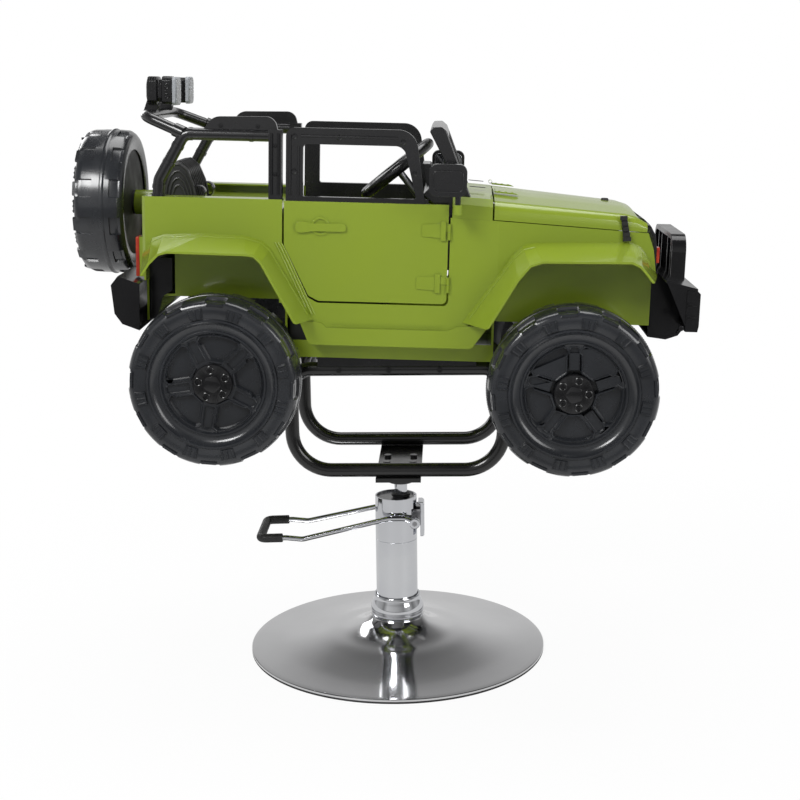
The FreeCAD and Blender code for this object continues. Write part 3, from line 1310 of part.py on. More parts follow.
def steering_shaft():
    start, along = column()
    low = start + along * (HORN_HEIGHT + SEAT_GAP)
    end = start + along * SHAFT_LENGTH
    shaft = rod(low, end, SHAFT_RADIUS)
    pinion = rod(end, end + along * PINION_HEIGHT, PINION_RADIUS - SEAT_GAP)
    return fuse([shaft, pinion])


def rack_spot():
    # Rack line, one pinion radius under the shaft end
    start, along = column()
    middle = start + along * (SHAFT_LENGTH + PINION_HEIGHT / 2)
    across = V(-along.z, 0, along.x)
    return middle - across * (PINION_RADIUS + RACK_RADIUS + SEAT_GAP)


def tie_rod():
    spot = rack_spot()
    x = px(FRONT_X_SHARE) - ARM_LENGTH
    end = KINGPIN_Y
    bar = rod(V(spot.x, -BEAM_END, spot.z), V(spot.x, BEAM_END, spot.z), RACK_RADIUS)
    pieces = [bar]
    for side in (-1, 1):
        low = spot.z - RACK_RADIUS
        ear = slab(min(x, spot.x) - RACK_RADIUS, max(x, spot.x) + RACK_RADIUS,
            min(side * BEAM_END, side * end) - RACK_RADIUS, max(side * BEAM_END,
            side * end) + RACK_RADIUS, low, spot.z + RACK_RADIUS)
        top = spot.z + RACK_RADIUS + SEAT_GAP + ARM_THICK + SEAT_GAP
        pin = Part.makeCylinder(LINK_PIN, top - low, V(x, side * end, low))
        pieces += [ear, pin]
    return fuse(pieces)


def steer_knuckle():
    x = px(FRONT_X_SHARE)
    z = pz(WHEEL_Z_SHARE)
    y = KINGPIN_Y
    height = (FORK_GAP - SEAT_GAP) * 2
    block = Part.makeCylinder(FORK_OUT, height, V(x, y, z - height / 2))
    pin_half = FORK_GAP + FORK_THICK
    kingpin = Part.makeCylinder(KINGPIN_RADIUS, pin_half * 2, V(x, y, z - pin_half))
    end = WHEEL_Y + WHEEL_WIDTH * AXLE_END_SHARE
    stub = rod(V(x, y, z), V(x, end, z), AXLE_RADIUS)
    spot = rack_spot()
    arm_z = spot.z + RACK_RADIUS + SEAT_GAP
    reach = ARM_LENGTH + LINK_TRAVEL + LINK_PIN * 2
    arm = slab(x - reach, x, y - ARM_WIDTH / 2, y + ARM_WIDTH / 2, arm_z, arm_z + ARM_THICK)
    pin = LINK_PIN + LINK_ROOM
    slot = slab(x - ARM_LENGTH - LINK_TRAVEL, x - ARM_LENGTH, y - pin, y + pin, arm_z - CUT_OVERRUN,
        arm_z + CUT_OVERRUN)
    ends = [Part.makeCylinder(pin, CUT_OVERRUN * 2,
        V(x - ARM_LENGTH - LINK_TRAVEL * k, y, arm_z - CUT_OVERRUN)) for k in (0, 1)]
    arm = arm.cut(slot).cut(ends[0]).cut(ends[1])
    return fuse([block, kingpin, stub, arm])


def front_axle():
    x = px(FRONT_X_SHARE)
    z = pz(WHEEL_Z_SHARE)
    half = BEAM_HALF
    pieces = [slab(x - half, x + half, -BEAM_END, BEAM_END, z - half, z + half)]
    tip = KINGPIN_Y + FORK_HALF_X
    for side in (-1, 1):
        y0, y1 = sorted((side * (BEAM_END - half), side * BEAM_END))
        reach = FORK_GAP + FORK_THICK
        pieces.append(slab(x - FORK_HALF_X, x + FORK_HALF_X, y0, y1, z - reach, z + reach))
        y0, y1 = sorted((side * (BEAM_END - half), side * tip))
        pieces.append(slab(x - FORK_HALF_X, x + FORK_HALF_X, y0, y1, z + FORK_GAP, z + reach))
        pieces.append(slab(x - FORK_HALF_X, x + FORK_HALF_X, y0, y1, z - reach, z - FORK_GAP))
        y0, y1 = sorted((side * HANGER_Y, side * (HANGER_Y + HANGER_WIDTH)))
        pieces.append(slab(x - half, x + half, y0, y1, z + half, pz(FRONT_BOTTOM_SHARES[2])))
    axle = fuse(pieces)
    for side in (-1, 1):
        bore = Part.makeCylinder(KINGPIN_RADIUS + RUN_GAP, TUB_Z, V(x, side * KINGPIN_Y, z - TUB_Z / 2))
        axle = axle.cut(bore)
    return axle


def rear_axle():
    x = px(REAR_X_SHARE)
    z = pz(WHEEL_Z_SHARE)
    half = BEAM_HALF
    end = WHEEL_Y + WHEEL_WIDTH * AXLE_END_SHARE
    pieces = [slab(x - half, x + half, -KINGPIN_Y, KINGPIN_Y, z - half, z + half)]
    pieces.append(rod(V(x, -end, z), V(x, end, z), AXLE_RADIUS))
    for side in (-1, 1):
        y0, y1 = sorted((side * HANGER_Y, side * (HANGER_Y + HANGER_WIDTH)))
        pieces.append(slab(x - half, x + half, y0, y1, z + half, pz(REAR_BOTTOM_SHARES[2])))
    return fuse(pieces)


def wheel(radius, width):
    # Moulded wheel on the z axis, outer face up
    def ring(shares):
        points = [V(radius * r, 0, width * w) for r, w in shares]
        face = Part.Face(Part.makePolygon(points + [points[0]]))
        return face.revolve(V(0, 0, 0), DIR_Z, FULL_TURN)

    pieces = [ring(TYRE_OUTER_SHARES), ring(FACE_SHARES)]
    low, high = BOSS_SPAN_SHARES
    pieces.append(Part.makeCylinder(radius * BOSS_SHARE, width * (high - low), V(0, 0, width * low)))
    for k in range(SPOKE_COUNT):
        for shift in (-1, 1):
            x0 = radius * SPOKE_SPAN_SHARES[0]
            x1 = radius * SPOKE_SPAN_SHARES[1]
            y = shift * radius * SPOKE_SPLIT_SHARE
            half = radius * SPOKE_HALF_SHARE
            z0 = width * FACE_SHARES[0][1]
            bar = slab(x0, x1, y - half, y + half, z0, width * SPOKE_TOP_SHARE)
            bar.rotate(V(0, 0, 0), DIR_Z, FULL_TURN * k / SPOKE_COUNT + RIGHT_ANGLE)
            pieces.append(bar)
    for k in range(LUG_COUNT):
        half = radius * LUG_HALF_SHARE
        tip = math.sqrt(radius * radius - half * half)
        lug = slab(radius * LUG_ROOT_SHARE, tip, -half, half, width * LUG_SPAN_SHARES[0],
            width * LUG_SPAN_SHARES[1])
        lug.rotate(V(0, 0, 0), DIR_Z, FULL_TURN * k / LUG_COUNT)
        pieces.append(lug)
    whole = fuse(pieces)
    bore = Part.makeCylinder(AXLE_RADIUS + RUN_GAP, width * 2, V(0, 0, -width))
    return whole.cut(bore)


def road_wheel(x_share, side):
    shape = wheel(WHEEL_RADIUS, WHEEL_WIDTH)
    shape.rotate(V(0, 0, 0), DIR_X, -RIGHT_ANGLE)
    shape.translate(V(px(x_share), WHEEL_Y, pz(WHEEL_Z_SHARE)))
    if side < 0:
        shape = mirrored(shape)
    return shape


def spare_wheel():
    shape = wheel(SPARE_RADIUS, SPARE_WIDTH)
    shape.rotate(V(0, 0, 0), DIR_Y, -RIGHT_ANGLE)
    shape.translate(V(px(SPARE_X_SHARE), 0, pz(SPARE_Z_SHARE)))
    return shape


def bumper_front():
    beam = plate(BEAM_SHARES, 0, -BEAM_BUMPER_HALF, BEAM_BUMPER_HALF)
    hollow = plate(BEAM_HOLLOW_SHARES, 0, -BEAM_BUMPER_HALF + BUMPER_WALL,
        BEAM_BUMPER_HALF - BUMPER_WALL)
    apron = plate(APRON_SHARES, 0, -APRON_HALF, APRON_HALF)
    wing = plate(WING_SHARES, 0, -WING_HALF, WING_HALF)
    skid = plate(SKID_SHARES, 0, -SKID_HALF, SKID_HALF)
    pieces = [beam.cut(hollow), apron, wing, skid]
    for side in (-1, 1):
        y0, y1 = sorted((side * (WING_HALF - BUMPER_WALL), side * WING_HALF))
        pieces.append(plate(GUSSET_SHARES, 0, y0, y1))
        y0, y1 = sorted((side * CHEEK_HALVES[0], side * CHEEK_HALVES[1]))
        pieces.append(plate(CHEEK_SHARES, 0, y0, y1))
        y0, y1 = sorted((side * HORN_HALVES[0], side * HORN_HALVES[1]))
        pieces.append(grid_slab(HORN_SHARES, y0, y1))
    low = pz(HOOP_FOOT_SHARE)
    top = pz(HOOP_TOP_SHARE)
    corners = [(-HOOP_HALF, low), (HOOP_HALF, low), (HOOP_HALF, top), (-HOOP_HALF, top)]
    inner = HOOP_HALF - HOOP_BAND
    holes = [(-inner, low - HOOP_BAND), (inner, low - HOOP_BAND), (inner, top - HOOP_BAND),
        (-inner, top - HOOP_BAND)]
    x0 = px(HOOP_SHARES[0])
    x1 = px(HOOP_SHARES[1])
    bands = []
    room = HOOP_BEND - HOOP_BAND
    for points, bend, start, end in ((corners, HOOP_BEND, x0, x1),
        (holes, room, x0 - HOOP_BAND, x1 + HOOP_BAND)):
        flat = [V(start, y, z) for y, z in points]
        face = Part.Face(path(flat, [0, 0, bend, bend], True))
        bands.append(face.extrude(V(end - start, 0, 0)))
    pieces.append(bands[0].cut(bands[1]))
    back, front = HOOP_WEB_SHARES
    pieces.append(bands[0].common(slab(px(back), px(front), -HOOP_HALF, HOOP_HALF, low, top)))
    for half in HOOP_RIB_HALVES:
        for y in (-half, half):
            rib = slab(px(HOOP_RIB_SHARE), px(back), y - WALL / 2, y + WALL / 2, low,
                top - HOOP_BAND / 2)
            pieces.append(rib)
    return fuse(pieces)


def bumper_rear():
    outer = plate(TAIL_BEAM_SHARES, 0, -TAIL_BEAM_HALF, TAIL_BEAM_HALF)
    half = TAIL_BEAM_HALF - BUMPER_WALL
    z = pz(SPARE_Z_SHARE)
    x0 = px(SPARE_X_SHARE) - SPARE_WIDTH
    x1 = px(SPARE_X_SHARE) + SPARE_WIDTH / 2 + SPARE_ROOM
    room = rod(V(x0, 0, z), V(x1, 0, z), SPARE_RADIUS + SPARE_ROOM)
    beam = outer.cut(plate(TAIL_HOLLOW_SHARES, 0, -half, half)).cut(room)
    near, far = TAIL_BRACKET_HALVES
    arm = plate(TAIL_BRACKET_SHARES, 0, near, near + WALL)
    arm = fuse([arm, grid_slab(TAIL_FOOT_SHARES, near, far)])
    return Part.makeCompound([beam, arm, mirrored(arm)])


def main():
    # Stand
    save("base_disc", base_disc())
    save("base_pad", base_pad())
    save("base_collar", base_collar())
    save("pump_cover", pump_cover())
    save("pump_cap", pump_cap())
    save("pump_body", pump_body())
    save("pump_plunger", pump_plunger())
    save("pump_hood", pump_hood())
    save("ram", ram())
    save("pedal_rod", pedal_rod())
    save("pedal_grip", pedal_grip())
    save("pedal_pin", pedal_pin())
    save("hub_flange", hub_flange())
    save("strap_plate", strap_plate())
    save("frame_bolts", Part.makeCompound([hub_bolts(), frame_screws()]))
    save("loop_right", loop(-LOOP_Y))
    save("loop_left", loop(LOOP_Y))
    save("saddles", Part.makeCompound([saddle(-LOOP_Y), saddle(LOOP_Y)]))
    # Car, drawn level and then pitched nose down
    pairs = {
        "side": side_panel(),
        "door": door(),
        "window_frame": window_frame(),
        "cage": cage_side(),
        "knuckle": steer_knuckle(),
        "mirror": mirror(),
    }
    for name, shape in pairs.items():
        save(name + "_left", tilt(shape))
        save(name + "_right", tilt(mirrored(shape)))
    rear_half, front_half = FLARE_ROOT_HALVES
    flares = {
        "flares_rear": (REAR_ROOT_SHARES, REAR_LIP_SHARES, rear_half),
        "flares_front": (FRONT_ROOT_SHARES, FRONT_LIP_SHARES, front_half),
    }
    for name, (root, lip, root_half) in flares.items():
        one = flare(root, lip, root_half)
        save(name, tilt(Part.makeCompound([one, mirrored(one)])))
    singles = {
        "body_tub": body_tub,
        "rear_panel": rear_panel,
        "cowl": cowl,
        "bonnet": bonnet,
        "bonnet_latches": bonnet_latches,
        "nose_panel": nose_panel,
        "lamp_lenses": lamp_lenses,
        "signal_lenses": signal_lenses,
        "hinge_pins": hinge_pins,
        "light_bar": light_bar,
        "roof_lamps": roof_lamps,
        "rear_pod": rear_pod,
        "seat": seat,
        "dash": dash,
        "screen_frame": screen_frame,
        "steering_wheel": steering_wheel,
        "horn_button": horn_button,
        "steering_shaft": steering_shaft,
        "tie_rod": tie_rod,
        "front_axle": front_axle,
        "rear_axle": rear_axle,
        "bumper_front": bumper_front,
        "bumper_rear": bumper_rear,
        "spare_wheel": spare_wheel,
    }
    for name, make in singles.items():
        save(name, tilt(make()))
    wheels = {
        "wheel_front_right": (FRONT_X_SHARE, -1),
        "wheel_front_left": (FRONT_X_SHARE, 1),
        "wheel_rear_right": (REAR_X_SHARE, -1),
        "wheel_rear_left": (REAR_X_SHARE, 1),
    }
    for name, (x, side) in wheels.items():
        save(name, tilt(road_wheel(x, side)))


main()
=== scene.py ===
"""Dresses the kids car barber chair: materials, lights, camera and the fine pieces on its frame."""
import math

import bmesh
import bpy
from mathutils import Matrix, Vector


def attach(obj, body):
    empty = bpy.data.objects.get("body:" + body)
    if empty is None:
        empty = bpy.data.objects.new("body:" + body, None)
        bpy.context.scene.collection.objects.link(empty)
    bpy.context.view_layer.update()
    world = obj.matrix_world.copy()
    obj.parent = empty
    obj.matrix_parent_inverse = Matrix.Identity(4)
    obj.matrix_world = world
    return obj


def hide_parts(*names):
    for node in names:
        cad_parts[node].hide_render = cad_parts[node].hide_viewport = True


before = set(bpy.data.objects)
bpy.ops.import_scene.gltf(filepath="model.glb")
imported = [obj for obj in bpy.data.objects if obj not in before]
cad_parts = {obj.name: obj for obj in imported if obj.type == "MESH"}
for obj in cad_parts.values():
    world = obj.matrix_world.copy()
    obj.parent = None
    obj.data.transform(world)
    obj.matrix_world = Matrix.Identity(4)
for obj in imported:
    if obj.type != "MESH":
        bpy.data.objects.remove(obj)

bl_info = {
    "name": "Kids Car Barber Chair",
    "version": (1, 0, 0),
    "blender": (4, 5, 0),
    "location": "View3D > Sidebar > Chair",
    "description": "Builds the visible pieces of a pump-lift barber chair with a toy car seat",
    "category": "Object",
}

MM = 0.001
CAR_PITCH = math.radians(2.0)
TILT_Z = 560.0
SIDES = {"right": -1, "left": 1}
UP = Vector((0, 0, 1))
BEVEL_LEAST_ANGLE = math.radians(28)


# ---------------------------------------------------------------- placing

def at(x, y, z):
    """A point of the car, given in millimetres on the level car, as a point of the pitched car in metres."""
    rise = z - TILT_Z
    c, s = math.cos(CAR_PITCH), math.sin(CAR_PITCH)
    return Vector((x * c + rise * s, y, -x * s + rise * c + TILT_Z)) * MM


def stand(x, y, z):
    """A point of the stand, in millimetres from the floor, in metres."""
    return Vector((x, y, z)) * MM


def rounded(points, radii, steps=6, closed=True):
    """A flat outline with its corners rounded; points are 2-D or 3-D tuples."""
    pts = [Vector(p) for p in points]
    if not isinstance(radii, (list, tuple)):
        radii = [radii] * len(pts)
    out = []
    for i, p in enumerate(pts):
        r = radii[i]
        if r <= 0 or (not closed and i in (0, len(pts) - 1)):
            out.append(p)
            continue
        a = (pts[i - 1] - p).normalized()
        b = (pts[(i + 1) % len(pts)] - p).normalized()
        half = a.angle(b) / 2
        if half > math.radians(89.5):
            out.append(p)
            continue
        reach = r / math.tan(half)
        centre = p + (a + b).normalized() * (r / math.sin(half))
        start, end = p + a * reach - centre, p + b * reach - centre
        span = start.angle(end)
        for k in range(steps + 1):
            t = k / steps
            spoke = start * math.sin((1 - t) * span) + end * math.sin(t * span)
            out.append(centre + spoke / math.sin(span))
    return out


# ---------------------------------------------------------------- meshes

def ring_faces(bm, rows):
    """Joins closed rows of points, all of one length, with quads."""
    n = len(rows[0])
    for a, b in zip(rows, rows[1:]):
        for i in range(n):
            j = (i + 1) % n
            bm.faces.new((a[i], a[j], b[j], b[i]))


def loft(bm, rings, caps=True):
    """Joins closed rings of points and shuts both ends."""
    rows = [[bm.verts.new(p) for p in ring] for ring in rings]
    ring_faces(bm, rows)
    if caps:
        bm.faces.new(list(reversed(rows[0])))
        bm.faces.new(rows[-1])


def prism(bm, outline, low, high, place=at):
    """Adds a block with an outline in x and z, from y = low to y = high."""
    loft(bm, [[place(p[0], y, p[1]) for p in outline] for y in (low, high)])


def frame_of(direction):
    """Two unit vectors square to a direction."""
    d = direction.normalized()
    side = UP.cross(d)
    if side.length < 1e-3:
        side = Vector((1, 0, 0))
    side.normalize()
    return side, d.cross(side).normalized()


def circle(centre, side, up, radius, count):
    """Points round a centre, all in metres but for the radius in millimetres."""
    turns = [2 * math.pi * k / count for k in range(count)]
    return [centre + (side * math.cos(t) + up * math.sin(t)) * radius * MM for t in turns]


def lathe(bm, profile, centre, axis, segments=64, closed=False):
    """Turns a profile of (radius, height) in millimetres about an axis through centre."""
    side, up = frame_of(axis)
    rows = []
    for r, h in profile:
        spot = centre + axis.normalized() * h * MM
        ring = circle(spot, side, up, r, segments) if r > 0 else [spot]
        rows.append([bm.verts.new(p) for p in ring])
    for a, b in zip(rows, rows[1:] + (rows[:1] if closed else [])):
        for k in range(segments):
            j = (k + 1) % segments
            if len(a) == 1 and len(b) == 1:
                break
            if len(a) == 1:
                bm.faces.new((a[0], b[j], b[k]))
            elif len(b) == 1:
                bm.faces.new((a[k], a[j], b[0]))
            else:
                bm.faces.new((a[k], a[j], b[j], b[k]))


def sweep(bm, points, radius, sides=20, closed=False):
    """Runs a round section, in millimetres, along points in metres."""
    n = len(points)
    rings = []
    side = None
    for i, p in enumerate(points):
        if closed:
            d = points[(i + 1) % n] - points[i - 1]
        else:
            d = points[min(i + 1, n - 1)] - points[max(i - 1, 0)]
        d.normalize()
        if side is None:
            side = frame_of(d)[0]
        side = (side - d * side.dot(d)).normalized()
        rings.append(circle(p, side, d.cross(side), radius, sides))
    if closed:
        rings.append(rings[0])
    loft(bm, rings, caps=not closed)
    if closed:
        bmesh.ops.remove_doubles(bm, verts=bm.verts, dist=1e-6)


def bead(bm, points, radius):
    """A rounded raised line; points are metres."""
    sweep(bm, points, radius, 10)


def box(bm, centre, size, turn=None):
    """A block by its centre in metres and its size in millimetres."""
    made = bmesh.ops.create_cube(bm, size=1.0)["verts"]
    scale = Matrix.Diagonal((*(Vector(size) * MM), 1.0))
    place = Matrix.Translation(centre) @ (turn.to_4x4() if turn else Matrix.Identity(4)) @ scale
    bmesh.ops.transform(bm, matrix=place, verts=made)


def piece(name, bm, body, finish, nodes=(), bevel=0.0, steps=2, angle=35.0):
    """Turns a bmesh into a named piece that rides on a body, and may stand for frame nodes."""
    bmesh.ops.recalc_face_normals(bm, faces=bm.faces)
    mesh = bpy.data.meshes.new(name)
    bm.to_mesh(mesh)
    bm.free()
    mesh.materials.append(material(finish))
    mesh.shade_smooth()
    mesh.set_sharp_from_angle(angle=math.radians(angle))
    obj = bpy.data.objects.new(name, mesh)
    bpy.context.scene.collection.objects.link(obj)
    if bevel:
        soft = obj.modifiers.new("soft_edges", "BEVEL")
        soft.width = bevel * MM
        soft.segments = steps
        soft.limit_method = "ANGLE"
        soft.angle_limit = BEVEL_LEAST_ANGLE
        soft.use_clamp_overlap = True
        even = obj.modifiers.new("even_normals", "WEIGHTED_NORMAL")
        even.keep_sharp = True
    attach(obj, body)
    if nodes:
        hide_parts(*nodes)


def skin(node, body, finish, bevel=1.0, steps=2, name=None, melt=1.5):
    """A softer-edged copy of one frame node, which stands for that node; melt is in degrees."""
    bm = bmesh.new()
    bm.from_mesh(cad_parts[node].data)
    bmesh.ops.remove_doubles(bm, verts=bm.verts, dist=1e-5)
    bmesh.ops.dissolve_limit(
        bm, angle_limit=math.radians(melt), verts=bm.verts, edges=bm.edges, delimit={"NORMAL"}
    )
    piece(name or node + "_skin", bm, body, finish, (node,), bevel, steps)


# ---------------------------------------------------------------- shader nodes and finishes

def linked(tree, kind, ends, **values):
    """A new node with its own values and its linked or fixed inputs."""
    node = tree.nodes.new(kind)
    for label, value in values.items():
        setattr(node, label, value)
    for socket, value in ends.items():
        if isinstance(value, bpy.types.NodeSocket):
            tree.links.new(value, node.inputs[socket])
        else:
            node.inputs[socket].default_value = value
    return node


def maths(tree, operation, *values):
    """The result of a maths node."""
    return linked(tree, "ShaderNodeMath", dict(enumerate(values)), operation=operation).outputs[0]


def mixed(tree, share, first, second, blend="MIX"):
    """A colour mixed from two others."""
    ends = {"Factor": share, 6: first, 7: second}
    return linked(tree, "ShaderNodeMix", ends, data_type="RGBA", blend_type=blend).outputs[2]


def span(tree, value, low=0.0, high=1.0, to_low=0.0, to_high=1.0):
    """A value carried from one range over to another and held inside it."""
    ends = {"Value": value, "From Min": low, "From Max": high, "To Min": to_low, "To Max": to_high}
    return linked(tree, "ShaderNodeMapRange", ends).outputs["Result"]


def ramp(tree, value, stops):
    """A grey ramp of brightness over a value; stops are place and brightness."""
    node = linked(tree, "ShaderNodeValToRGB", {"Fac": value})
    bands = node.color_ramp.elements
    while len(bands) < len(stops):
        bands.new(0.5)
    for band, (place, level) in zip(bands, stops):
        band.position = place
        band.color = (level, level, level, 1)
    return node.outputs["Color"]


GROUP_INPUTS = {
    "Light Colour": (0.8, 0.8, 0.8, 1), "Deep Colour": (0.5, 0.5, 0.5, 1), "Mottle Scale": 6.0,
    "Least Roughness": 0.2, "Most Roughness": 0.4, "Gloss Scale": 30.0, "Grain Scale": 400.0,
}
GROUP_OUTPUTS = {"Colour": "NodeSocketColor", "Roughness": "NodeSocketFloat", "Height": "NodeSocketFloat"}


def surface_group():
    """A shader node group: slow colour mottling, uneven gloss and a fine grain height."""
    made = bpy.data.node_groups.get("surface_variation")
    if made:
        return made
    group = bpy.data.node_groups.new("surface_variation", "ShaderNodeTree")
    for label, value in GROUP_INPUTS.items():
        kind = "NodeSocketColor" if isinstance(value, tuple) else "NodeSocketFloat"
        group.interface.new_socket(name=label, in_out="INPUT", socket_type=kind).default_value = value
    for label, kind in GROUP_OUTPUTS.items():
        group.interface.new_socket(name=label, in_out="OUTPUT", socket_type=kind)
    given = linked(group, "NodeGroupInput", {}).outputs
    spot = linked(group, "ShaderNodeTexCoord", {}).outputs["Object"]
    noises = []
    for scale, detail in (("Mottle Scale", 4.0), ("Gloss Scale", 3.0), ("Grain Scale", 2.0)):
        ends = {"Vector": spot, "Scale": given[scale], "Detail": detail}
        noises.append(linked(group, "ShaderNodeTexNoise", ends).outputs["Fac"])
    mottle, gloss, grain = noises
    linked(group, "NodeGroupOutput", {
        "Colour": mixed(group, span(group, mottle, 0.35, 0.65), given["Light Colour"], given["Deep Colour"]),
        "Roughness": span(group, gloss, 0.3, 0.7, given["Least Roughness"], given["Most Roughness"]),
        "Height": grain,
    })
    return group


def plain_finish(name, light, deep, rough, grain, bump, mottle=6.0, gloss=30.0, **sockets):
    """A Principled material whose colour, gloss and grain come from the shared group."""
    made = bpy.data.materials.get(name)
    if made:
        return made
    mat = bpy.data.materials.new(name)
    mat.use_nodes = True
    tree = mat.node_tree
    group = linked(tree, "ShaderNodeGroup", {
        "Light Colour": (*light, 1), "Deep Colour": (*deep, 1), "Mottle Scale": mottle, "Gloss Scale": gloss,
        "Least Roughness": rough[0], "Most Roughness": rough[1], "Grain Scale": grain,
    }, node_tree=surface_group()).outputs
    relief = {"Strength": bump[0], "Distance": bump[1] * MM, "Height": group["Height"]}
    grained = linked(tree, "ShaderNodeBump", relief).outputs["Normal"]
    shader = tree.nodes["Principled BSDF"]
    for socket, value in (("Base Color", group["Colour"]), ("Roughness", group["Roughness"]), ("Normal", grained)):
        tree.links.new(value, shader.inputs[socket])
    for socket, value in sockets.items():
        shader.inputs[socket.replace("_", " ")].default_value = value
    return mat


# Finish: material's name, light and deep colour, least and most roughness, grain scale, bump's strength and
# millimetres, and further values; a setting's name stands for its colour, and the deep one is then a share of it
FINISHES = {
    "paint": ("olive_paint", "paint", 0.95, (0.2, 0.27), 900, (0.06, 0.02),
              dict(mottle=3.0, gloss=12.0, Coat_Weight=0.5, Coat_Roughness=0.06)),
    "tube": ("black_gloss_tube", "frame_black", 0.7, (0.14, 0.24), 700, (0.1, 0.04),
             dict(Coat_Weight=0.3, Coat_Roughness=0.15)),
    "plastic": ("black_satin_plastic", "trim_black", 0.7, (0.2, 0.3), 1500, (0.15, 0.03),
                dict(Coat_Weight=0.6, Coat_Roughness=0.15)),
    "bumper": ("black_gloss_plastic", "trim_black", 0.7, (0.13, 0.22), 1200, (0.1, 0.03), {}),
    "wheel": ("wheel_plastic", "wheel_black", 0.7, (0.2, 0.3), 1300, (0.15, 0.04),
              dict(mottle=9.0, Coat_Weight=0.6, Coat_Roughness=0.17)),
    "seat": ("seat_plastic", (0.022,) * 3, (0.014,) * 3, (0.38, 0.55), 1100, (0.4, 0.1), {}),
    "rubber": ("black_rubber", (0.02,) * 3, (0.01,) * 3, (0.45, 0.62), 900, (0.3, 0.1), dict(mottle=14.0)),
    "chrome": ("chrome_plate", (0.74, 0.75, 0.77), (0.66, 0.67, 0.70), (0.05, 0.12), 500, (0.05, 0.02),
               dict(mottle=8.0, gloss=9.0, Metallic=1.0)),
    "satin": ("brushed_chrome", (0.80, 0.80, 0.81), (0.74, 0.74, 0.75), (0.07, 0.14), 600, (0.04, 0.01),
              dict(mottle=5.0, gloss=7.0, Metallic=1.0)),
    "steel": ("zinc_steel", (0.42, 0.42, 0.43), (0.3, 0.3, 0.31), (0.28, 0.45), 700, (0.2, 0.05),
              dict(Metallic=1.0)),
    "grey": ("grey_plastic", (0.036, 0.036, 0.037), (0.028,) * 3, (0.3, 0.4), 1200, (0.3, 0.06), {}),
    "clear": ("clear_lens", (0.92, 0.94, 0.95), (0.85, 0.87, 0.9), (0.04, 0.1), 300, (0.1, 0.1),
              dict(Transmission_Weight=0.85, IOR=1.49)),
    "lens": ("frosted_lens", (0.6, 0.62, 0.64), (0.4, 0.42, 0.45), (0.12, 0.22), 260, (0.3, 0.3),
             dict(Transmission_Weight=0.25, IOR=1.49)),
    "red": ("red_lens", (0.5, 0.06, 0.02), (0.34, 0.02, 0.01), (0.16, 0.24), 260, (0.3, 0.2),
            dict(mottle=60.0, Coat_Weight=0.3)),
    "glass": ("mirror_glass", (0.82, 0.84, 0.86), (0.76, 0.78, 0.8), (0.02, 0.05), 200, (0.01, 0.01),
              dict(Metallic=1.0)),
}
NODE_FINISH = {
    "paint": "body_tub side_right side_left rear_panel cowl bonnet flares_rear flares_front door_right door_left",
    "tube": "hub_flange strap_plate loop_right loop_left frame_bolts front_axle rear_axle knuckle_right "
            "knuckle_left",
    "plastic": "pump_cap saddles bonnet_latches nose_panel window_frame_right window_frame_left cage_right "
               "cage_left light_bar roof_lamps dash screen_frame steering_wheel horn_button mirror_right "
               "mirror_left",
    "bumper": "bumper_front bumper_rear",
    "wheel": "wheel_front_right wheel_front_left wheel_rear_right wheel_rear_left spare_wheel",
    "seat": "seat",
    "rubber": "base_pad pedal_grip",
    "chrome": "pump_cover pump_hood ram pedal_rod base_collar",
    "satin": "base_disc",
    "steel": "pump_body pump_plunger pedal_pin hinge_pins steering_shaft tie_rod",
    "grey": "rear_pod",
    "clear": "lamp_lenses",
    "red": "signal_lenses",
}


def material(finish):
    """The material of a finish."""
    name, light, deep, rough, grain, bump, more = FINISHES[finish]
    if isinstance(light, str):
        light = getattr(bpy.context.scene.chair_finish, light)
        deep = [value * deep for value in light]
    return plain_finish(name, light, deep, rough, grain, bump, **more)


def finish_nodes():
    """Gives every frame node the finish of its part."""
    for finish, names in NODE_FINISH.items():
        for name in names.split():
            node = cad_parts[name]
            for slot in node.material_slots:
                slot.material = material(finish)
            if not node.data.materials:
                node.data.materials.append(material(finish))


# ---------------------------------------------------------------- camera, lights and floor

CAMERA_SPOT = (0.109562, -2.849180, 1.152051)
CAMERA_YAW = 1.98877
CAMERA_PITCH = 12.57705
CAMERA_ROLL = -0.7
CAMERA_LENS = 65.95
FLOOR_HALF = 12.0
PAPER_SHADE = 0.85
PAPER_MIRRORED_SHADE = 0.8
# Distance from the object, in metres, over which the floor turns wholly white
PAPER_FADE = (0.5, 1.6)
# In mirrors the paper ends in front of the chair: where it fades, in metres, and what is left
PAPER_END = (-2.3, -1.1)
PAPER_END_SHARE = 0.16
# Soft boxes: name, place, aim, size in metres, power in watts
LIGHTS = [
    ("key_box", (-1.6, -2.6, 2.9), (0, 0, 0.7), (1.3, 1.0), 66),
    ("fill_box", (2.4, -2.2, 1.9), (0, 0, 0.7), (1.4, 1.8), 30),
    ("top_box", (0.2, 0.6, 3.2), (0, 0, 0.8), (2.4, 1.6), 40),
    ("back_box", (-2.0, 2.2, 2.0), (0, 0, 0.8), (1.4, 1.6), 24),
]
# Brightness of the room round the chair, for its two sides: place from 0 behind it to 1 behind the camera
ROOM_LEFT = [(0.0, 1.0), (0.16, 0.92), (0.26, 0.3), (0.42, 0.8), (0.6, 0.6), (0.66, 0.35), (0.76, 0.95),
             (1.0, 0.7)]
ROOM_RIGHT = [(0.0, 1.0), (0.18, 0.9), (0.3, 0.28), (0.45, 0.7), (0.58, 0.3), (0.7, 0.9), (0.84, 0.42), (1.0, 0.7)]
# Brightness by height: place from 0 on the horizon to 1 overhead
ROOM_HEIGHT = [(0.0, 1.0), (0.3, 0.97), (0.42, 0.75), (0.58, 0.36), (0.75, 0.2), (1.0, 0.3)]


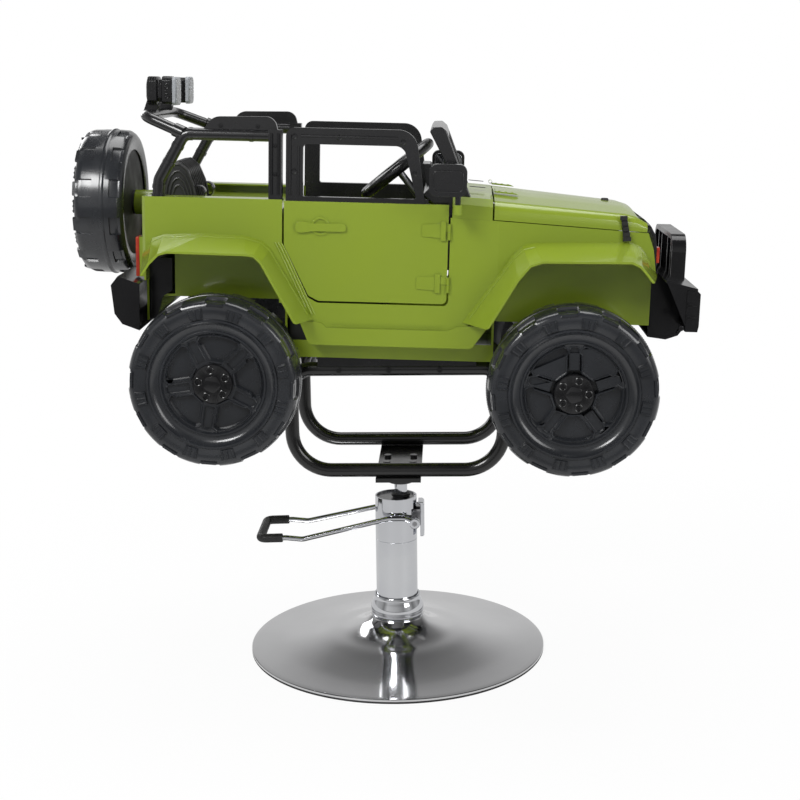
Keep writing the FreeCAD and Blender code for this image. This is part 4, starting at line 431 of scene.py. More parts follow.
def place_camera():
    """Sets the camera where the photograph was taken."""
    scene = bpy.context.scene
    lens = bpy.data.cameras.new("camera")
    lens.lens = CAMERA_LENS
    lens.sensor_width = 36.0
    lens.clip_start = 0.05
    camera = bpy.data.objects.new("camera", lens)
    yaw, pitch, roll = math.radians(CAMERA_YAW), math.radians(CAMERA_PITCH), math.radians(CAMERA_ROLL)
    ahead = Vector((-math.sin(yaw) * math.cos(pitch), math.cos(yaw) * math.cos(pitch), -math.sin(pitch)))
    level = Vector((math.cos(yaw), math.sin(yaw), 0.0))
    upright = level.cross(ahead)
    right = level * math.cos(roll) + upright * math.sin(roll)
    up = upright * math.cos(roll) - level * math.sin(roll)
    turn = Matrix((right, up, -ahead)).transposed()
    camera.matrix_world = Matrix.Translation(CAMERA_SPOT) @ turn.to_4x4()
    scene.collection.objects.link(camera)
    scene.camera = camera


def build_stage():
    scene = bpy.context.scene
    look = scene.chair_stage
    scene.view_settings.view_transform = "Standard"
    place_camera()
    for name, spot, aim, size, power in LIGHTS:
        lamp = bpy.data.lights.new(name, "AREA")
        lamp.shape = "RECTANGLE"
        lamp.size, lamp.size_y = size
        lamp.energy = power * look.light_level
        obj = bpy.data.objects.new(name, lamp)
        obj.location = spot
        obj.rotation_euler = (Vector(aim) - Vector(spot)).to_track_quat("-Z", "Y").to_euler()
        scene.collection.objects.link(obj)
    build_room(look)
    floor = bpy.data.meshes.new("floor")
    corners = [(x * FLOOR_HALF, y * FLOOR_HALF, 0) for x, y in ((-1, -1), (1, -1), (1, 1), (-1, 1))]
    floor.from_pydata(corners, [], [(0, 1, 2, 3)])
    plane = bpy.data.objects.new("floor", floor)
    scene.collection.objects.link(plane)
    floor.materials.append(floor_paper(look))


def build_room(look):
    """World light: white where it is seen, plain on matt surfaces, and a room with walls and gaps in mirrors."""
    world = bpy.data.worlds.new("studio")
    world.use_nodes = True
    bpy.context.scene.world = world
    tree = world.node_tree
    spot = linked(tree, "ShaderNodeTexCoord", {}).outputs["Generated"]
    axes = linked(tree, "ShaderNodeSeparateXYZ", {"Vector": spot}).outputs
    turn = maths(tree, "ARCTAN2", axes["X"], axes["Y"])
    share = maths(tree, "MULTIPLY", turn, 1 / math.pi)
    size = maths(tree, "ABSOLUTE", share)
    side = maths(tree, "GREATER_THAN", share, 0.0)
    walls = mixed(tree, side, ramp(tree, size, ROOM_LEFT), ramp(tree, size, ROOM_RIGHT))
    room = mixed(tree, 1.0, walls, ramp(tree, axes["Z"], ROOM_HEIGHT), "MULTIPLY")
    path = linked(tree, "ShaderNodeLightPath", {}).outputs
    seen = maths(tree, "MAXIMUM", path["Is Camera Ray"], path["Is Transmission Ray"])
    matt = span(tree, seen, to_low=look.world_level)
    level = linked(tree, "ShaderNodeMix", {"Factor": path["Is Glossy Ray"], "A": matt, "B": look.mirror_level})
    back = tree.nodes["Background"].inputs
    tree.links.new(mixed(tree, path["Is Glossy Ray"], (1, 1, 1, 1), room), back["Color"])
    tree.links.new(level.outputs["Result"], back["Strength"])


def floor_paper(look):
    """White studio paper: glows to white where it is seen, keeps a shadow near the object, ends in mirrors."""
    mat = bpy.data.materials.new("studio_paper")
    mat.use_nodes = True
    tree = mat.node_tree
    shader = tree.nodes["Principled BSDF"]
    shader.inputs["Roughness"].default_value = 0.6
    spot = linked(tree, "ShaderNodeNewGeometry", {}).outputs["Position"]
    away = linked(tree, "ShaderNodeVectorMath", {0: spot}, operation="LENGTH").outputs["Value"]
    white = span(tree, away, *PAPER_FADE, look.floor_glow)
    path = linked(tree, "ShaderNodeLightPath", {}).outputs
    shown = maths(tree, "MAXIMUM", path["Is Camera Ray"], path["Is Transmission Ray"])
    y = linked(tree, "ShaderNodeSeparateXYZ", {"Vector": spot}).outputs["Y"]
    near = span(tree, y, *PAPER_END, look.mirror_level * PAPER_END_SHARE, look.mirror_level)
    mirrored = maths(tree, "MULTIPLY", path["Is Glossy Ray"], near)
    glow = maths(tree, "MAXIMUM", maths(tree, "MULTIPLY", shown, white), mirrored)
    dark = maths(tree, "MULTIPLY", path["Is Glossy Ray"], PAPER_MIRRORED_SHADE)
    bare = maths(tree, "SUBTRACT", PAPER_SHADE, dark)
    tone = linked(tree, "ShaderNodeCombineColor", {0: bare, 1: bare, 2: bare})
    tree.links.new(tone.outputs["Color"], shader.inputs["Base Color"])
    light = linked(tree, "ShaderNodeEmission", {}).outputs["Emission"]
    blend = linked(tree, "ShaderNodeMixShader", {"Fac": glow, 1: shader.outputs["BSDF"], 2: light})
    tree.links.new(blend.outputs["Shader"], tree.nodes["Material Output"].inputs["Surface"])
    return mat


# ---------------------------------------------------------------- stand, pump and frame

RAM_X = 10.0
PIVOT_X = 39.0
PIVOT_Z = 277.0
PIVOT_HEAD_Y = 61.6
PEDAL_REACH = 309.0
PEDAL_HALF = 50.0
GRIP_HALF = 62.0
GRIP_DROP = 0.094
# The pedal's rod from its eye to the grip, as shares of its reach
PEDAL_SHARES = [(0, 0), (-0.07, 0.027), (-0.17, 0.027), (-0.725, -0.1), (-0.83, -0.09), (-1, -GRIP_DROP)]
PEDAL_BENDS = [0] + [30] * 4 + [10.5] * 2 + [30] * 4 + [0]
DISC_ROWS = [(298.4, 3), (300, 4.2), (300, 7.6), (298.8, 8.9), (294, 9.4), (262, 11.6), (231, 14.6), (200, 19.5),
             (168, 25.8), (138, 32.4), (110, 36.8), (92, 42.2), (75, 49.4), (64, 56.5), (56, 64.2), (54, 67)]
COLLAR_ROWS = [(38.6, 67), (49.5, 67), (52.0, 69.5), (53.6, 75), (54, 82), (53.4, 88), (51.6, 95), (49.3, 101),
               (47.9, 104), (47.5, 106), (47.5, 110.6), (46.6, 112), (43.2, 112), (43.2, 95.2)]
COVER_ROWS = [(39.6, 95.2), (42, 95.2), (42, 229.2), (41.5, 229.9), (41.5, 230.7), (42, 231.4), (42, 318.8),
              (41.3, 320), (39.9, 320), (39.7, 306.2)]


def smooth_rows(rows, steps=4):
    """A profile through the given points, with points between them on a smooth curve."""
    pts = [Vector(p) for p in rows]
    out = []
    for i in range(len(pts) - 1):
        p0, p1, p2, p3 = pts[max(i - 1, 0)], pts[i], pts[i + 1], pts[min(i + 2, len(pts) - 1)]
        for k in range(steps):
            t = k / steps
            out.append(tuple(
                0.5 * (2 * p1[j] + (p2[j] - p0[j]) * t + (2 * p0[j] - 5 * p1[j] + 4 * p2[j] - p3[j]) * t * t
                       + (3 * p1[j] - p0[j] - 3 * p2[j] + p3[j]) * t ** 3) for j in (0, 1)))
    out.append(tuple(pts[-1]))
    return out


def turned_piece(name, body, finish, rows, nodes=(), centre=(0, 0, 0), axis=(0, 0, 1), segments=96, closed=False):
    bm = bmesh.new()
    lathe(bm, rows, stand(*centre), Vector(axis), segments, closed)
    piece(name, bm, body, finish, nodes)


def build_base():
    under = [(40, 67), (40, 60.5), (67, 43), (106, 29.5), (197, 13.4), (286, 3)]
    dish = DISC_ROWS[:4] + smooth_rows(DISC_ROWS[4:]) + under
    turned_piece("base_dish", "base", "satin", dish, ("base_disc",), segments=192, closed=True)
    pad = [(0, 0), (299.4, 0), (299.8, 0.5), (299.8, 2.6), (299.4, 3), (0, 3)]
    turned_piece("base_rubber_pad", "base", "rubber", pad, ("base_pad",), segments=192)
    turned_piece("collar_turning", "base", "chrome", COLLAR_ROWS, ("base_collar",), closed=True)


def build_pump():
    skin("pump_cover", "base", "chrome", 0.3, name="column_sleeve")
    skin("pump_cap", "base", "plastic", 0.5)
    skin("pump_hood", "base", "chrome", 1.2, 3)
    ram = [(0, 133.8), (12.2, 133.8), (13, 135), (13, 383.6), (0, 383.6)]
    turned_piece("ram_rod", "ram", "chrome", ram, ("ram",), (RAM_X, 0, 0), segments=64)
    wiper = [(13.3, 320), (19, 320), (19, 322.5), (17.5, 324), (13.3, 324)]
    turned_piece("guide_wiper", "base", "rubber", wiper, (), (RAM_X, 0, 0), segments=64, closed=True)
    cap = [(0, 0), (8.5, 0), (8.5, 2.4), (7.6, 3.4), (0, 3.8)]
    for side, way in SIDES.items():
        spot = (PIVOT_X, way * 55.2, PIVOT_Z)
        turned_piece(f"pedal_pivot_cap_{side}", "pedal", "chrome", cap, (), spot, (0, way, 0), 32)


def pedal_path():
    """The pedal's rod from one eye round the grip to the other, in metres."""
    points = []
    for x, z in PEDAL_SHARES:
        y = PEDAL_HALF + (GRIP_HALF - PEDAL_HALF) * min(1, abs(x) / 0.725)
        points.append(Vector((PIVOT_X + PEDAL_REACH * x, y, PIVOT_Z + PEDAL_REACH * z)))
    back = [Vector((p.x, -p.y, p.z)) for p in reversed(points)]
    return [p * MM for p in rounded(points + back, PEDAL_BENDS, 8, closed=False)]


def build_pedal():
    bm = bmesh.new()
    sweep(bm, pedal_path(), 5.25, 24)
    eye = [(6.1, -5.2), (9.2, -5.2), (9.5, -4.6), (9.5, 4.6), (9.2, 5.2), (6.1, 5.2)]
    for y in (-PEDAL_HALF, PEDAL_HALF):
        lathe(bm, eye, stand(PIVOT_X, y, PIVOT_Z), Vector((0, 1, 0)), 40, closed=True)
    piece("pedal_loop", bm, "pedal", "chrome", ("pedal_rod",))
    bm = bmesh.new()
    x, z = PIVOT_X - PEDAL_REACH, PIVOT_Z - PEDAL_REACH * GRIP_DROP
    ends = [(x + 45, -GRIP_HALF, z + 1.2), (x, -GRIP_HALF, z), (x, GRIP_HALF, z), (x + 45, GRIP_HALF, z + 1.2)]
    line = rounded([stand(*p) for p in ends], [0, 12.5 * MM, 12.5 * MM, 0], 8, closed=False)
    sweep(bm, line, 8.9, 24)
    piece("pedal_rubber", bm, "pedal", "rubber", ("pedal_grip",), bevel=1.2)


def build_pivot_bolts():
    """Round bolt heads with a hollow hexagon at the ends of the pedal's pivot."""
    bm = bmesh.new()
    rows = [(10.5, -5.5), (10.5, -1.2), (9.4, 0), (5.6, 0), (5.2, -0.6), (4.6, -0.6), (4.4, -3.4), (0, -3.4)]
    for way in (-1, 1):
        lathe(bm, rows, stand(PIVOT_X, way * PIVOT_HEAD_Y, PIVOT_Z), Vector((0, way, 0)), 36)
    piece("pedal_bolt_heads", bm, "pedal", "chrome")


def loop_path(y):
    """The middle line of one tube loop of the cradle."""
    low, high, half = 406.0, 605.0, 202.5
    corners = [(RAM_X - half, low), (RAM_X + half, low), (RAM_X + half, high), (RAM_X - half, high)]
    return [p * MM for p in rounded([(x, y, z) for x, z in corners], [75, 75, 40, 40], 14)]


def build_frame():
    for side, way in SIDES.items():
        bm = bmesh.new()
        sweep(bm, loop_path(way * 124.4), 13.5, 32, closed=True)
        piece(f"loop_tube_{side}", bm, "car", "tube", (f"loop_{side}",))
    skin("hub_flange", "car", "tube", 0.8)
    skin("strap_plate", "car", "tube", 1.0)
    skin("saddles", "car", "plastic", 1.2)


BEVELS = {"body_tub": 0.8, "bonnet": 1.6, "cowl": 1.4}


def build_body():
    for node in ("body_tub", "rear_panel", "cowl", "bonnet", "flares_rear", "flares_front", "side_right",
                 "side_left"):
        skin(node, "car", "paint", BEVELS.get(node, 1.2))
    skin("nose_panel", "car", "plastic", 1.0)
    skin("bonnet_latches", "car", "plastic", 0.8)


def build_doors():
    for side in SIDES:
        skin(f"door_{side}", f"door_{side}", "paint", 1.2)
        skin(f"window_frame_{side}", f"door_{side}", "plastic", 5.4, 5)


def build_cage():
    for node in ("cage_right", "cage_left", "light_bar"):
        skin(node, "car", "plastic", 1.0, melt=0.5)
    skin("lamp_lenses", "car", "clear", 0.4)


def build_cabin():
    skin("rear_pod", "car", "grey", 2.0, 3)
    skin("seat", "car", "seat", 2.5, 3)
    skin("dash", "car", "plastic", 1.6)
    skin("screen_frame", "car", "plastic", 2.0, 3)


def build_bumpers():
    skin("bumper_front", "car", "bumper", 1.2)
    skin("bumper_rear", "car", "bumper", 2.0, 3)
    skin("signal_lenses", "car", "red", 1.2)
    for side in SIDES:
        skin(f"mirror_{side}", f"mirror_{side}", "plastic", 1.5, 3)


# ---------------------------------------------------------------- mouldings and small fittings on the car

PANEL_Y = 190.0
FLARE_OUT = 75.0
FLARE_STEP = 0.16
FLARE_LINES = [
    ([(-442, 848), (-420, 856), (-344, 859), (-273, 857), (-242, 849), (-225, 836), (-152, 716)],
     [(-436, 812), (-419, 829), (-402, 834), (-263, 833), (-246, 831), (-233, 819), (-174, 717)]),
    ([(134, 717), (218, 835.6), (233.8, 849.5), (253, 854.3)],
     [(176, 719), (222, 800), (243, 826), (266, 834)]),
]
# Lozenges of the sill's tread stand on a corner of the pitched car
LOZENGE_TURN = Matrix.Rotation(math.radians(45) + CAR_PITCH, 3, "Y")
HINGE_Y = 100.0
LATCH_Y = 158.5
LATCH_LEAN = 0.03
# Half a section through the pod behind the seat, and the middle its ribs shrink to
POD_DOME = [(-448, 907), (-444, 940), (-436, 964), (-424, 978), (-412, 980), (-398, 968), (-386, 940), (-379, 907)]
POD_MIDDLE = (-413, 907)
LAMP_Y = 70.0
LAMP_Z = 1110.0


def stud(bm, spot, axis, radius, height, dome=0.3, segments=20):
    """A low round head; spot in metres, sizes in millimetres."""
    rows = [(radius, -0.6), (radius, height * (1 - dome)), (radius * 0.86, height * 0.93), (radius * 0.5, height),
            (0, height)]
    lathe(bm, rows, spot, axis, segments)


def cross_screw(bm, spot, axis, radius, height):
    """A pan head with a hollow in its middle."""
    rows = [(radius, -0.6), (radius, height * 0.5), (radius * 0.85, height * 0.95), (radius * 0.55, height),
            (radius * 0.3, height), (radius * 0.22, height * 0.3), (0, height * 0.25)]
    lathe(bm, rows, spot, axis, 20)


def build_mouldings():
    """Ridges beside the rear flare's leg, and a low band of lozenges on the sill."""
    for side, way in SIDES.items():
        bm = bmesh.new()
        for shift, radius in ((-5.5, 1.9), (0.0, 2.4), (5.5, 1.9)):
            bead(bm, [at(x + shift, way * y, z) for x, y, z in
                      ((-212, 189.4, 846), (-206, 189.7, 836), (-152, 189.7, 722), (-149, 189.4, 715))], radius)
        for k in range(34):
            for shift, z in ((0, 695.0), (3, 699.4)):
                box(bm, at(-112 + k * 6.0 + shift, way * PANEL_Y, z), (3.6, 2.0, 2.8), LOZENGE_TURN)
        piece(f"sill_tread_{side}", bm, "car", "paint", angle=40)


def build_flare_lines():
    """A fine step along each flare, a little way out from the panel."""
    for side, way in SIDES.items():
        bm = bmesh.new()
        y = way * (PANEL_Y + FLARE_OUT * FLARE_STEP)
        for root, lip in FLARE_LINES:
            bead(bm, [at(x0 + (x1 - x0) * FLARE_STEP, y, z0 + (z1 - z0) * FLARE_STEP)
                      for (x0, z0), (x1, z1) in zip(root, lip)], 1.5)
        piece(f"flare_steps_{side}", bm, "car", "paint")


def build_trim():
    boss = [(5.4, -0.5), (5.4, 0.7), (4.6, 1.4), (3.6, 1.2), (3.2, 0.2), (0, 0.1)]
    slot = rounded([(-15, -3), (15, -3), (15, 3), (-15, 3)], 2.9)
    for side, way in SIDES.items():
        out = Vector((0, way, 0))
        # Bosses and ridges of the window frames
        bm = bmesh.new()
        for x, z in ((-102.6, 1037), (12, 1031), (34, 975), (-101, 914), (-175, 914), (-183.5, 975),
                     (-183.5, 1037)):
            lathe(bm, boss, at(x, way * (184 if z > 920 else 180), z), out, 24)
        for line in ([(-191, 932), (-191, 1040)], [(-176, 932), (-176, 1020)], [(-172, 1038.5), (2, 1038.5)]):
            bead(bm, [at(x, way * 183.2, z) for x, z in line], 2.6)
        piece(f"window_bosses_{side}", bm, f"door_{side}", "plastic")
        # Screws and ridges of the roll cage
        bm = bmesh.new()
        for x, z, y in ((-218, 969, 188), (-218, 1020, 188), (-317, 1053, 182), (-250, 1053, 182)):
            cross_screw(bm, at(x, way * y, z), out, 3.8, 1.6)
        for x in (-224, -212):
            bead(bm, [at(x, way * 187.4, 932), at(x, way * 187.4, 1042)], 2.6)
        piece(f"cage_screws_{side}", bm, "car", "bumper")
        # Sleeves where the cage tubes plug together
        bm = bmesh.new()
        for x, z, dx, dz in ((-431, 941, 0.12, 1), (-412, 985, 0.48, 0.87), (-396, 1015, 0.48, 0.87),
                             (-372, 1037, 1, 0), (-262, 1037, 1, 0)):
            axis = at(x + dx, 0, z + dz) - at(x, 0, z)
            lathe(bm, [(10.6, -4), (12.0, -3.4), (12.0, 3.4), (10.6, 4)], at(x, way * 177, z), axis, 32)
        piece(f"cage_sleeves_{side}", bm, "car", "plastic")
        # Bonnet hinge: strap, barrel and three screws
        bm = bmesh.new()
        strap = [(181.5, 940.2), (181.5, 943.1), (220, 939.6), (226, 936.7)]
        prism(bm, strap, way * HINGE_Y - 6.5, way * HINGE_Y + 6.5)
        barrel = [(3.2, -7.5), (3.6, -7), (3.6, 7), (3.2, 7.5)]
        lathe(bm, barrel, at(179, way * HINGE_Y, 945.4), Vector((0, 1, 0)), 20)
        for x in (190, 202, 214):
            stud(bm, at(x, way * HINGE_Y, 941.9 - (x - 190) * 0.09), UP, 2.4, 1.2)
        piece(f"bonnet_hinge_{side}", bm, "car", "paint", bevel=0.5)
        # Slot in the cowl, along its fall
        bm = bmesh.new()
        for low, high in ((-0.6, 0.35), (-0.8, 0.25)):
            prism(bm, slot, low, high, lambda x, y, z: at(150 + x, way * 82 + z, 949.1 - 0.0685 * (x + 15) + y))
        piece(f"cowl_slot_{side}", bm, "car", "plastic")
    bm = bmesh.new()
    stud(bm, at(397, 0, 921.4), Vector((0.04, 0, 1)), 7.5, 5.5, 0.5, 28)
    piece("bonnet_bump_stop", bm, "car", "rubber")


def build_pod():
    """Rounded ribs over the pod behind the seat, and the knobs on its front."""
    bm = bmesh.new()
    mx, mz = POD_MIDDLE
    for share in (0.94, 0.76, 0.58, 0.4):
        for y in (-70.2, 70.2):
            bead(bm, [at(mx + (x - mx) * share, y, mz + (z - mz) * share) for x, z in POD_DOME], 2.6)
    for y in (-54, -36, -18, 0, 18, 36, 54):
        bead(bm, [at(x, y, z) for x, z in POD_DOME], 1.6)
    piece("rear_pod_ribs", bm, "car", "grey")
    bm = bmesh.new()
    knob = [(12, -11), (14, -9.5), (15, -5), (15, 5), (14, 9.5), (12, 11)]
    for y in (-52, 52):
        lathe(bm, knob, at(-379, y, 921), Vector((0, 1, 0)), 28)
    piece("rear_pod_knobs", bm, "car", "plastic")


def build_latches():
    """Rubber pulls that hold the bonnet down, each with its cleat."""
    for side, way in SIDES.items():
        bm = bmesh.new()
        for z, half, thick in ((904, 6.5, 3.4), (894, 5.4, 2.6), (884, 4.6, 3.2), (874, 6.4, 4.6),
                               (866, 7.4, 4.0)):
            y = way * (LATCH_Y + LATCH_LEAN * (890 - z))
            box(bm, at(416.5 + (905 - z) * 0.2, y, z), (half * 2, thick + 3, 7.8))
        stud(bm, at(424.5, way * (LATCH_Y + 3.2), 873), Vector((0, way, 0)), 3.4, 2.0)
        piece(f"latch_pull_{side}", bm, "car", "rubber", bevel=0.9)


def eight_sided(x, y, half, cut):
    """Corner points of a roof lamp's upright eight-sided section at x."""
    inner = half - cut
    ring = [(-half, -inner), (-inner, -half), (inner, -half), (half, -inner), (half, inner), (inner, half),
            (-inner, half), (-half, inner)]
    return [at(x, y + a, LAMP_Z + b) for a, b in ring]


LAMP_SHELL = [(-469.5, 19, 8), (-467, 25, 8), (-450, 25.5, 8), (-447, 20.5, 8), (-441, 20.5, 8), (-439.5, 24, 5),
              (-421, 24, 5), (-420, 23, 5)]
LAMP_LENS = [(-420.5, 23.5, 5), (-420, 25.6, 5), (-414.5, 25.6, 5), (-412.4, 23.5, 5)]


def build_lamps():
    """Boxy roof lamps: a ribbed eight-sided shell, a waist, side knobs, a foot and a thick clear front."""
    for side, way in SIDES.items():
        y = way * LAMP_Y
        bm = bmesh.new()
        loft(bm, [eight_sided(x, y, half, cut) for x, half, cut in LAMP_SHELL])
        for x in (-464, -459, -454):
            loft(bm, [eight_sided(x + d, y, 26, 8.5) for d in (-1.1, 1.1)])
        for out in (-1, 1):
            for b in (9, -9):
                lathe(bm, [(5.2, -0.5), (5.2, 0.9), (3.6, 1.3), (3.2, 0.3), (0, 0.2)],
                      at(-430, y + out * 24.034, LAMP_Z + b), Vector((0, out, 0)), 20)
            box(bm, at(-430, y + out * 24.4, LAMP_Z), (9, 1.6, 3))
        prism(bm, [(-478, 1068), (-454, 1068), (-446, 1092), (-470, 1092)], y - 12, y + 12)
        piece(f"roof_lamp_{side}", bm, "car", "bumper", ("roof_lamps",), bevel=0.8)
        bm = bmesh.new()
        loft(bm, [eight_sided(x, y, half, cut) for x, half, cut in LAMP_LENS])
        piece(f"roof_lamp_lens_{side}", bm, "car", "lens")


def build_steering():
    """Rubber rim of the steering wheel, with studs for the fingers."""
    lean = math.radians(50.4)
    centre = at(-4, 0, 973)
    side, up = frame_of(at(math.cos(lean), 0, -math.sin(lean)) - at(0, 0, 0))
    bm = bmesh.new()
    sweep(bm, circle(centre, side, up, 76, 72), 10.5, 20, closed=True)
    for k, spot in enumerate(circle(centre, side, up, 84, 28)):
        if k % 7 not in (5, 6):
            stud(bm, spot, spot - centre, 3.2, 2.6, 0.5, 12)
    piece("steering_rim_grips", bm, "steering", "plastic")


def build_mirror_details():
    for side, way in SIDES.items():
        bm = bmesh.new()
        outline = rounded([(67, 947), (122, 947), (122, 992), (67, 992)], 9)
        prism(bm, outline, way * 224.2, way * 225.6)
        piece(f"mirror_glass_{side}", bm, f"mirror_{side}", "glass", bevel=0.4)
        bm = bmesh.new()
        loop = [at(x, way * 246.6, z) for x, z in rounded([(68, 950), (121, 950), (121, 986), (68, 986)], 8)]
        sweep(bm, loop, 1.7, 10, closed=True)
        piece(f"mirror_rim_{side}", bm, f"mirror_{side}", "plastic")


def build_bumper_details():
    for side, way in SIDES.items():
        bm = bmesh.new()
        for z in (757, 735):
            tip = [(531, z + 5), (548, z), (531, z - 5), (531, z - 2), (540, z), (531, z + 2)]
            prism(bm, tip, way * 229.4, way * 232.4)
        stud(bm, at(522, way * 228, 715), Vector((0, way, 0)), 5, 2)
        piece(f"bumper_end_marks_{side}", bm, "car", "bumper", bevel=0.4)


# ---------------------------------------------------------------- wheels

WHEEL_RADIUS = 156.0
SPARE_RADIUS = 139.5
SPOKES = 5
TREAD_BLOCKS = 12
RECESS_HALF = 7.2
STEP_EDGE = 0.6
TREAD_DEPTH = 4.4
SEAM_TEETH = 220
# Section of a 156 mm wheel: radius, height along the axle, and how far the tread's recess is cut there
TYRE_ROWS = [
    (112.5, -53.5), (112.5, -57), (114, -58.2), (124, -60), (131, -62.0), (137, -62.3), (143, -60), (147.5, -54.5),
    (149.8, -50, 0.45), (151.4, -46.5, 1), (152.6, -42, 1), (153.4, -22, 1), (153.6, -21), (153.8, -2), (153.8, 2),
    (153.6, 21), (153.4, 22, 1), (152.6, 42, 1), (151.4, 46.5, 1), (149.8, 50, 0.45), (147.5, 54.5),
    (143.5, 57.2), (139, 58.2), (133, 58.6), (126, 57.8), (120.5, 56.4), (118.4, 56.0), (117.2, 58.6),
    (113.8, 58.6), (112.4, 56.6), (109, 51.8), (104, 48.6), (99, 47.2), (97, 47.4), (95.6, 49.4), (92.4, 49.4),
    (91, 47.2), (89.5, 44.6), (88, 44.0),
]
BACK_ROWS = [(112.5, -53.5), (125, -55), (125, 8), (116, 26), (96, 30), (30, 30), (24, 26), (24, -37), (12, -37),
             (12, 20)]
SEAM_ROWS = [(152.4, -6.5), (154.4, -5.6), (154.9, -1.6), (154.9, 1.6), (154.4, 5.6), (152.4, 6.5)]
# Raised lips round the spoke face's pockets and channels: growth of the outline and height
POCKET_LIP = [(3.6, 0), (3.1, 1.3), (2.3, 2.2), (1.2, 2.2), (0.5, 1.4)]
CHANNEL_LIP = [(2.0, 0), (1.7, 0.7), (1.2, 1.1), (0.6, 1.0), (0.2, 0.4)]
FACE_H = 44.0
POCKET_H = 34.5
CHANNEL_H = 39.5
CAP_R = 36.0
# Place and turn of each wheel's hub, and the turn of its tread
AXLES = {"front": 329.0, "rear": -315.0}
AXLE_Z = 603.5
TRACK_HALF = 255.0
WHEEL_TURNS = {"rearright": 8.0, "frontright": 54.0, "rearleft": 30.0, "frontleft": -12.0}
LUG_TURNS = {"rearright": 2.7, "frontright": -34.5, "rearleft": 0.0, "frontleft": 6.0}
SPARE_X = -547.0
SPARE_Z = 896.0


class Hub:
    """The middle, axis and spoke directions of one wheel, with lengths scaled from a 156 mm wheel."""

    def __init__(self, centre, axis, scale=1.0, width=1.0, back=1.0, turn=0.0):
        self.centre = centre
        self.axis = axis.normalized()
        self.e1 = Vector((0, 0, 1)).cross(self.axis).normalized()
        self.e2 = self.axis.cross(self.e1)
        self.scale = scale
        self.width = width
        self.back = back
        self.turn = turn

    def polar(self, r, degrees, h):
        a = math.radians(degrees + self.turn)
        spoke = self.e1 * math.cos(a) + self.e2 * math.sin(a)
        deep = h * (self.width if h > 0 else self.back)
        return self.centre + (spoke * r * self.scale + self.axis * deep) * MM

    def flat(self, x, y, degrees, h):
        """x runs out along the direction at that angle, y square to it."""
        return self.polar(math.hypot(x, y), degrees + math.degrees(math.atan2(y, x)), h)


def tread_columns():
    """Angles of the tyre's rows of points, and whether each lies in a recess."""
    period = 360.0 / TREAD_BLOCKS
    edges = [-RECESS_HALF, -RECESS_HALF + STEP_EDGE, RECESS_HALF - STEP_EDGE, RECESS_HALF]
    inside = (-3.3, 0.0, 3.3)
    outside = (10.5, 13.8, 16.2, 19.5)
    out = []
    for k in range(TREAD_BLOCKS):
        for a in sorted([*edges, *inside, *outside]):
            deep = abs(a) <= RECESS_HALF - STEP_EDGE + 1e-6
            out.append((k * period + a, deep))
    return out


def pocket_outline(grow=0.0):
    """One pocket between two twin spokes, along its own middle line; grow widens it."""
    gap = 15.5 - grow
    lean = math.radians(36)
    side = Vector((math.cos(lean), math.sin(lean)))
    square = Vector((math.sin(lean), -math.cos(lean)))
    half = [side * run + square * (gap - step)
            for run, step in ((40 - grow, 0), (70, 0), (74, 4.2), (78.5 + grow * 0.5, 3.2))]
    top = 85.5 + grow
    tip = math.degrees(math.atan2(half[-1].y, half[-1].x)) - 4.5
    arc = [Vector((math.cos(math.radians(a)), math.sin(math.radians(a)))) * top for a in (tip, tip / 2)]
    line = half + arc
    return line + [Vector((top, 0))] + [Vector((p.x, -p.y)) for p in reversed(line)]


def channel_outline(grow=0.0):
    """The channel along the middle of a twin spoke; grow widens it."""
    half = 7.6 + grow
    end = 84 + grow
    side = [(43, half), (80, half), (end, half - 3.5)]
    return [Vector((x, -y)) for x, y in side] + [Vector(p) for p in reversed(side)]


def add_loop(bm, hub, points, degrees, h):
    return [bm.verts.new(hub.flat(p.x, p.y, degrees, h)) for p in points]


def loop_edges(bm, verts):
    return [bm.edges.new((verts[i - 1], verts[i])) for i in range(len(verts))]


def polar_rows(bm, hub, rows, count):
    """Rings of points round a wheel's axis, from rows of radius and height."""
    return [[bm.verts.new(hub.polar(r, 360 / count * k, h)) for k in range(count)] for r, h in rows]


def sunk(bm, hub, outline, lip, floor, degrees):
    """A lipped hollow in the spoke face; returns the edges where it meets the face."""
    rows = [add_loop(bm, hub, outline(grow), degrees, FACE_H + rise) for grow, rise in lip]
    edges = loop_edges(bm, rows[0])
    grow, height = floor
    rows.append(add_loop(bm, hub, outline(grow), degrees, height))
    ring_faces(bm, rows)
    bm.faces.new(rows[-1])
    return edges


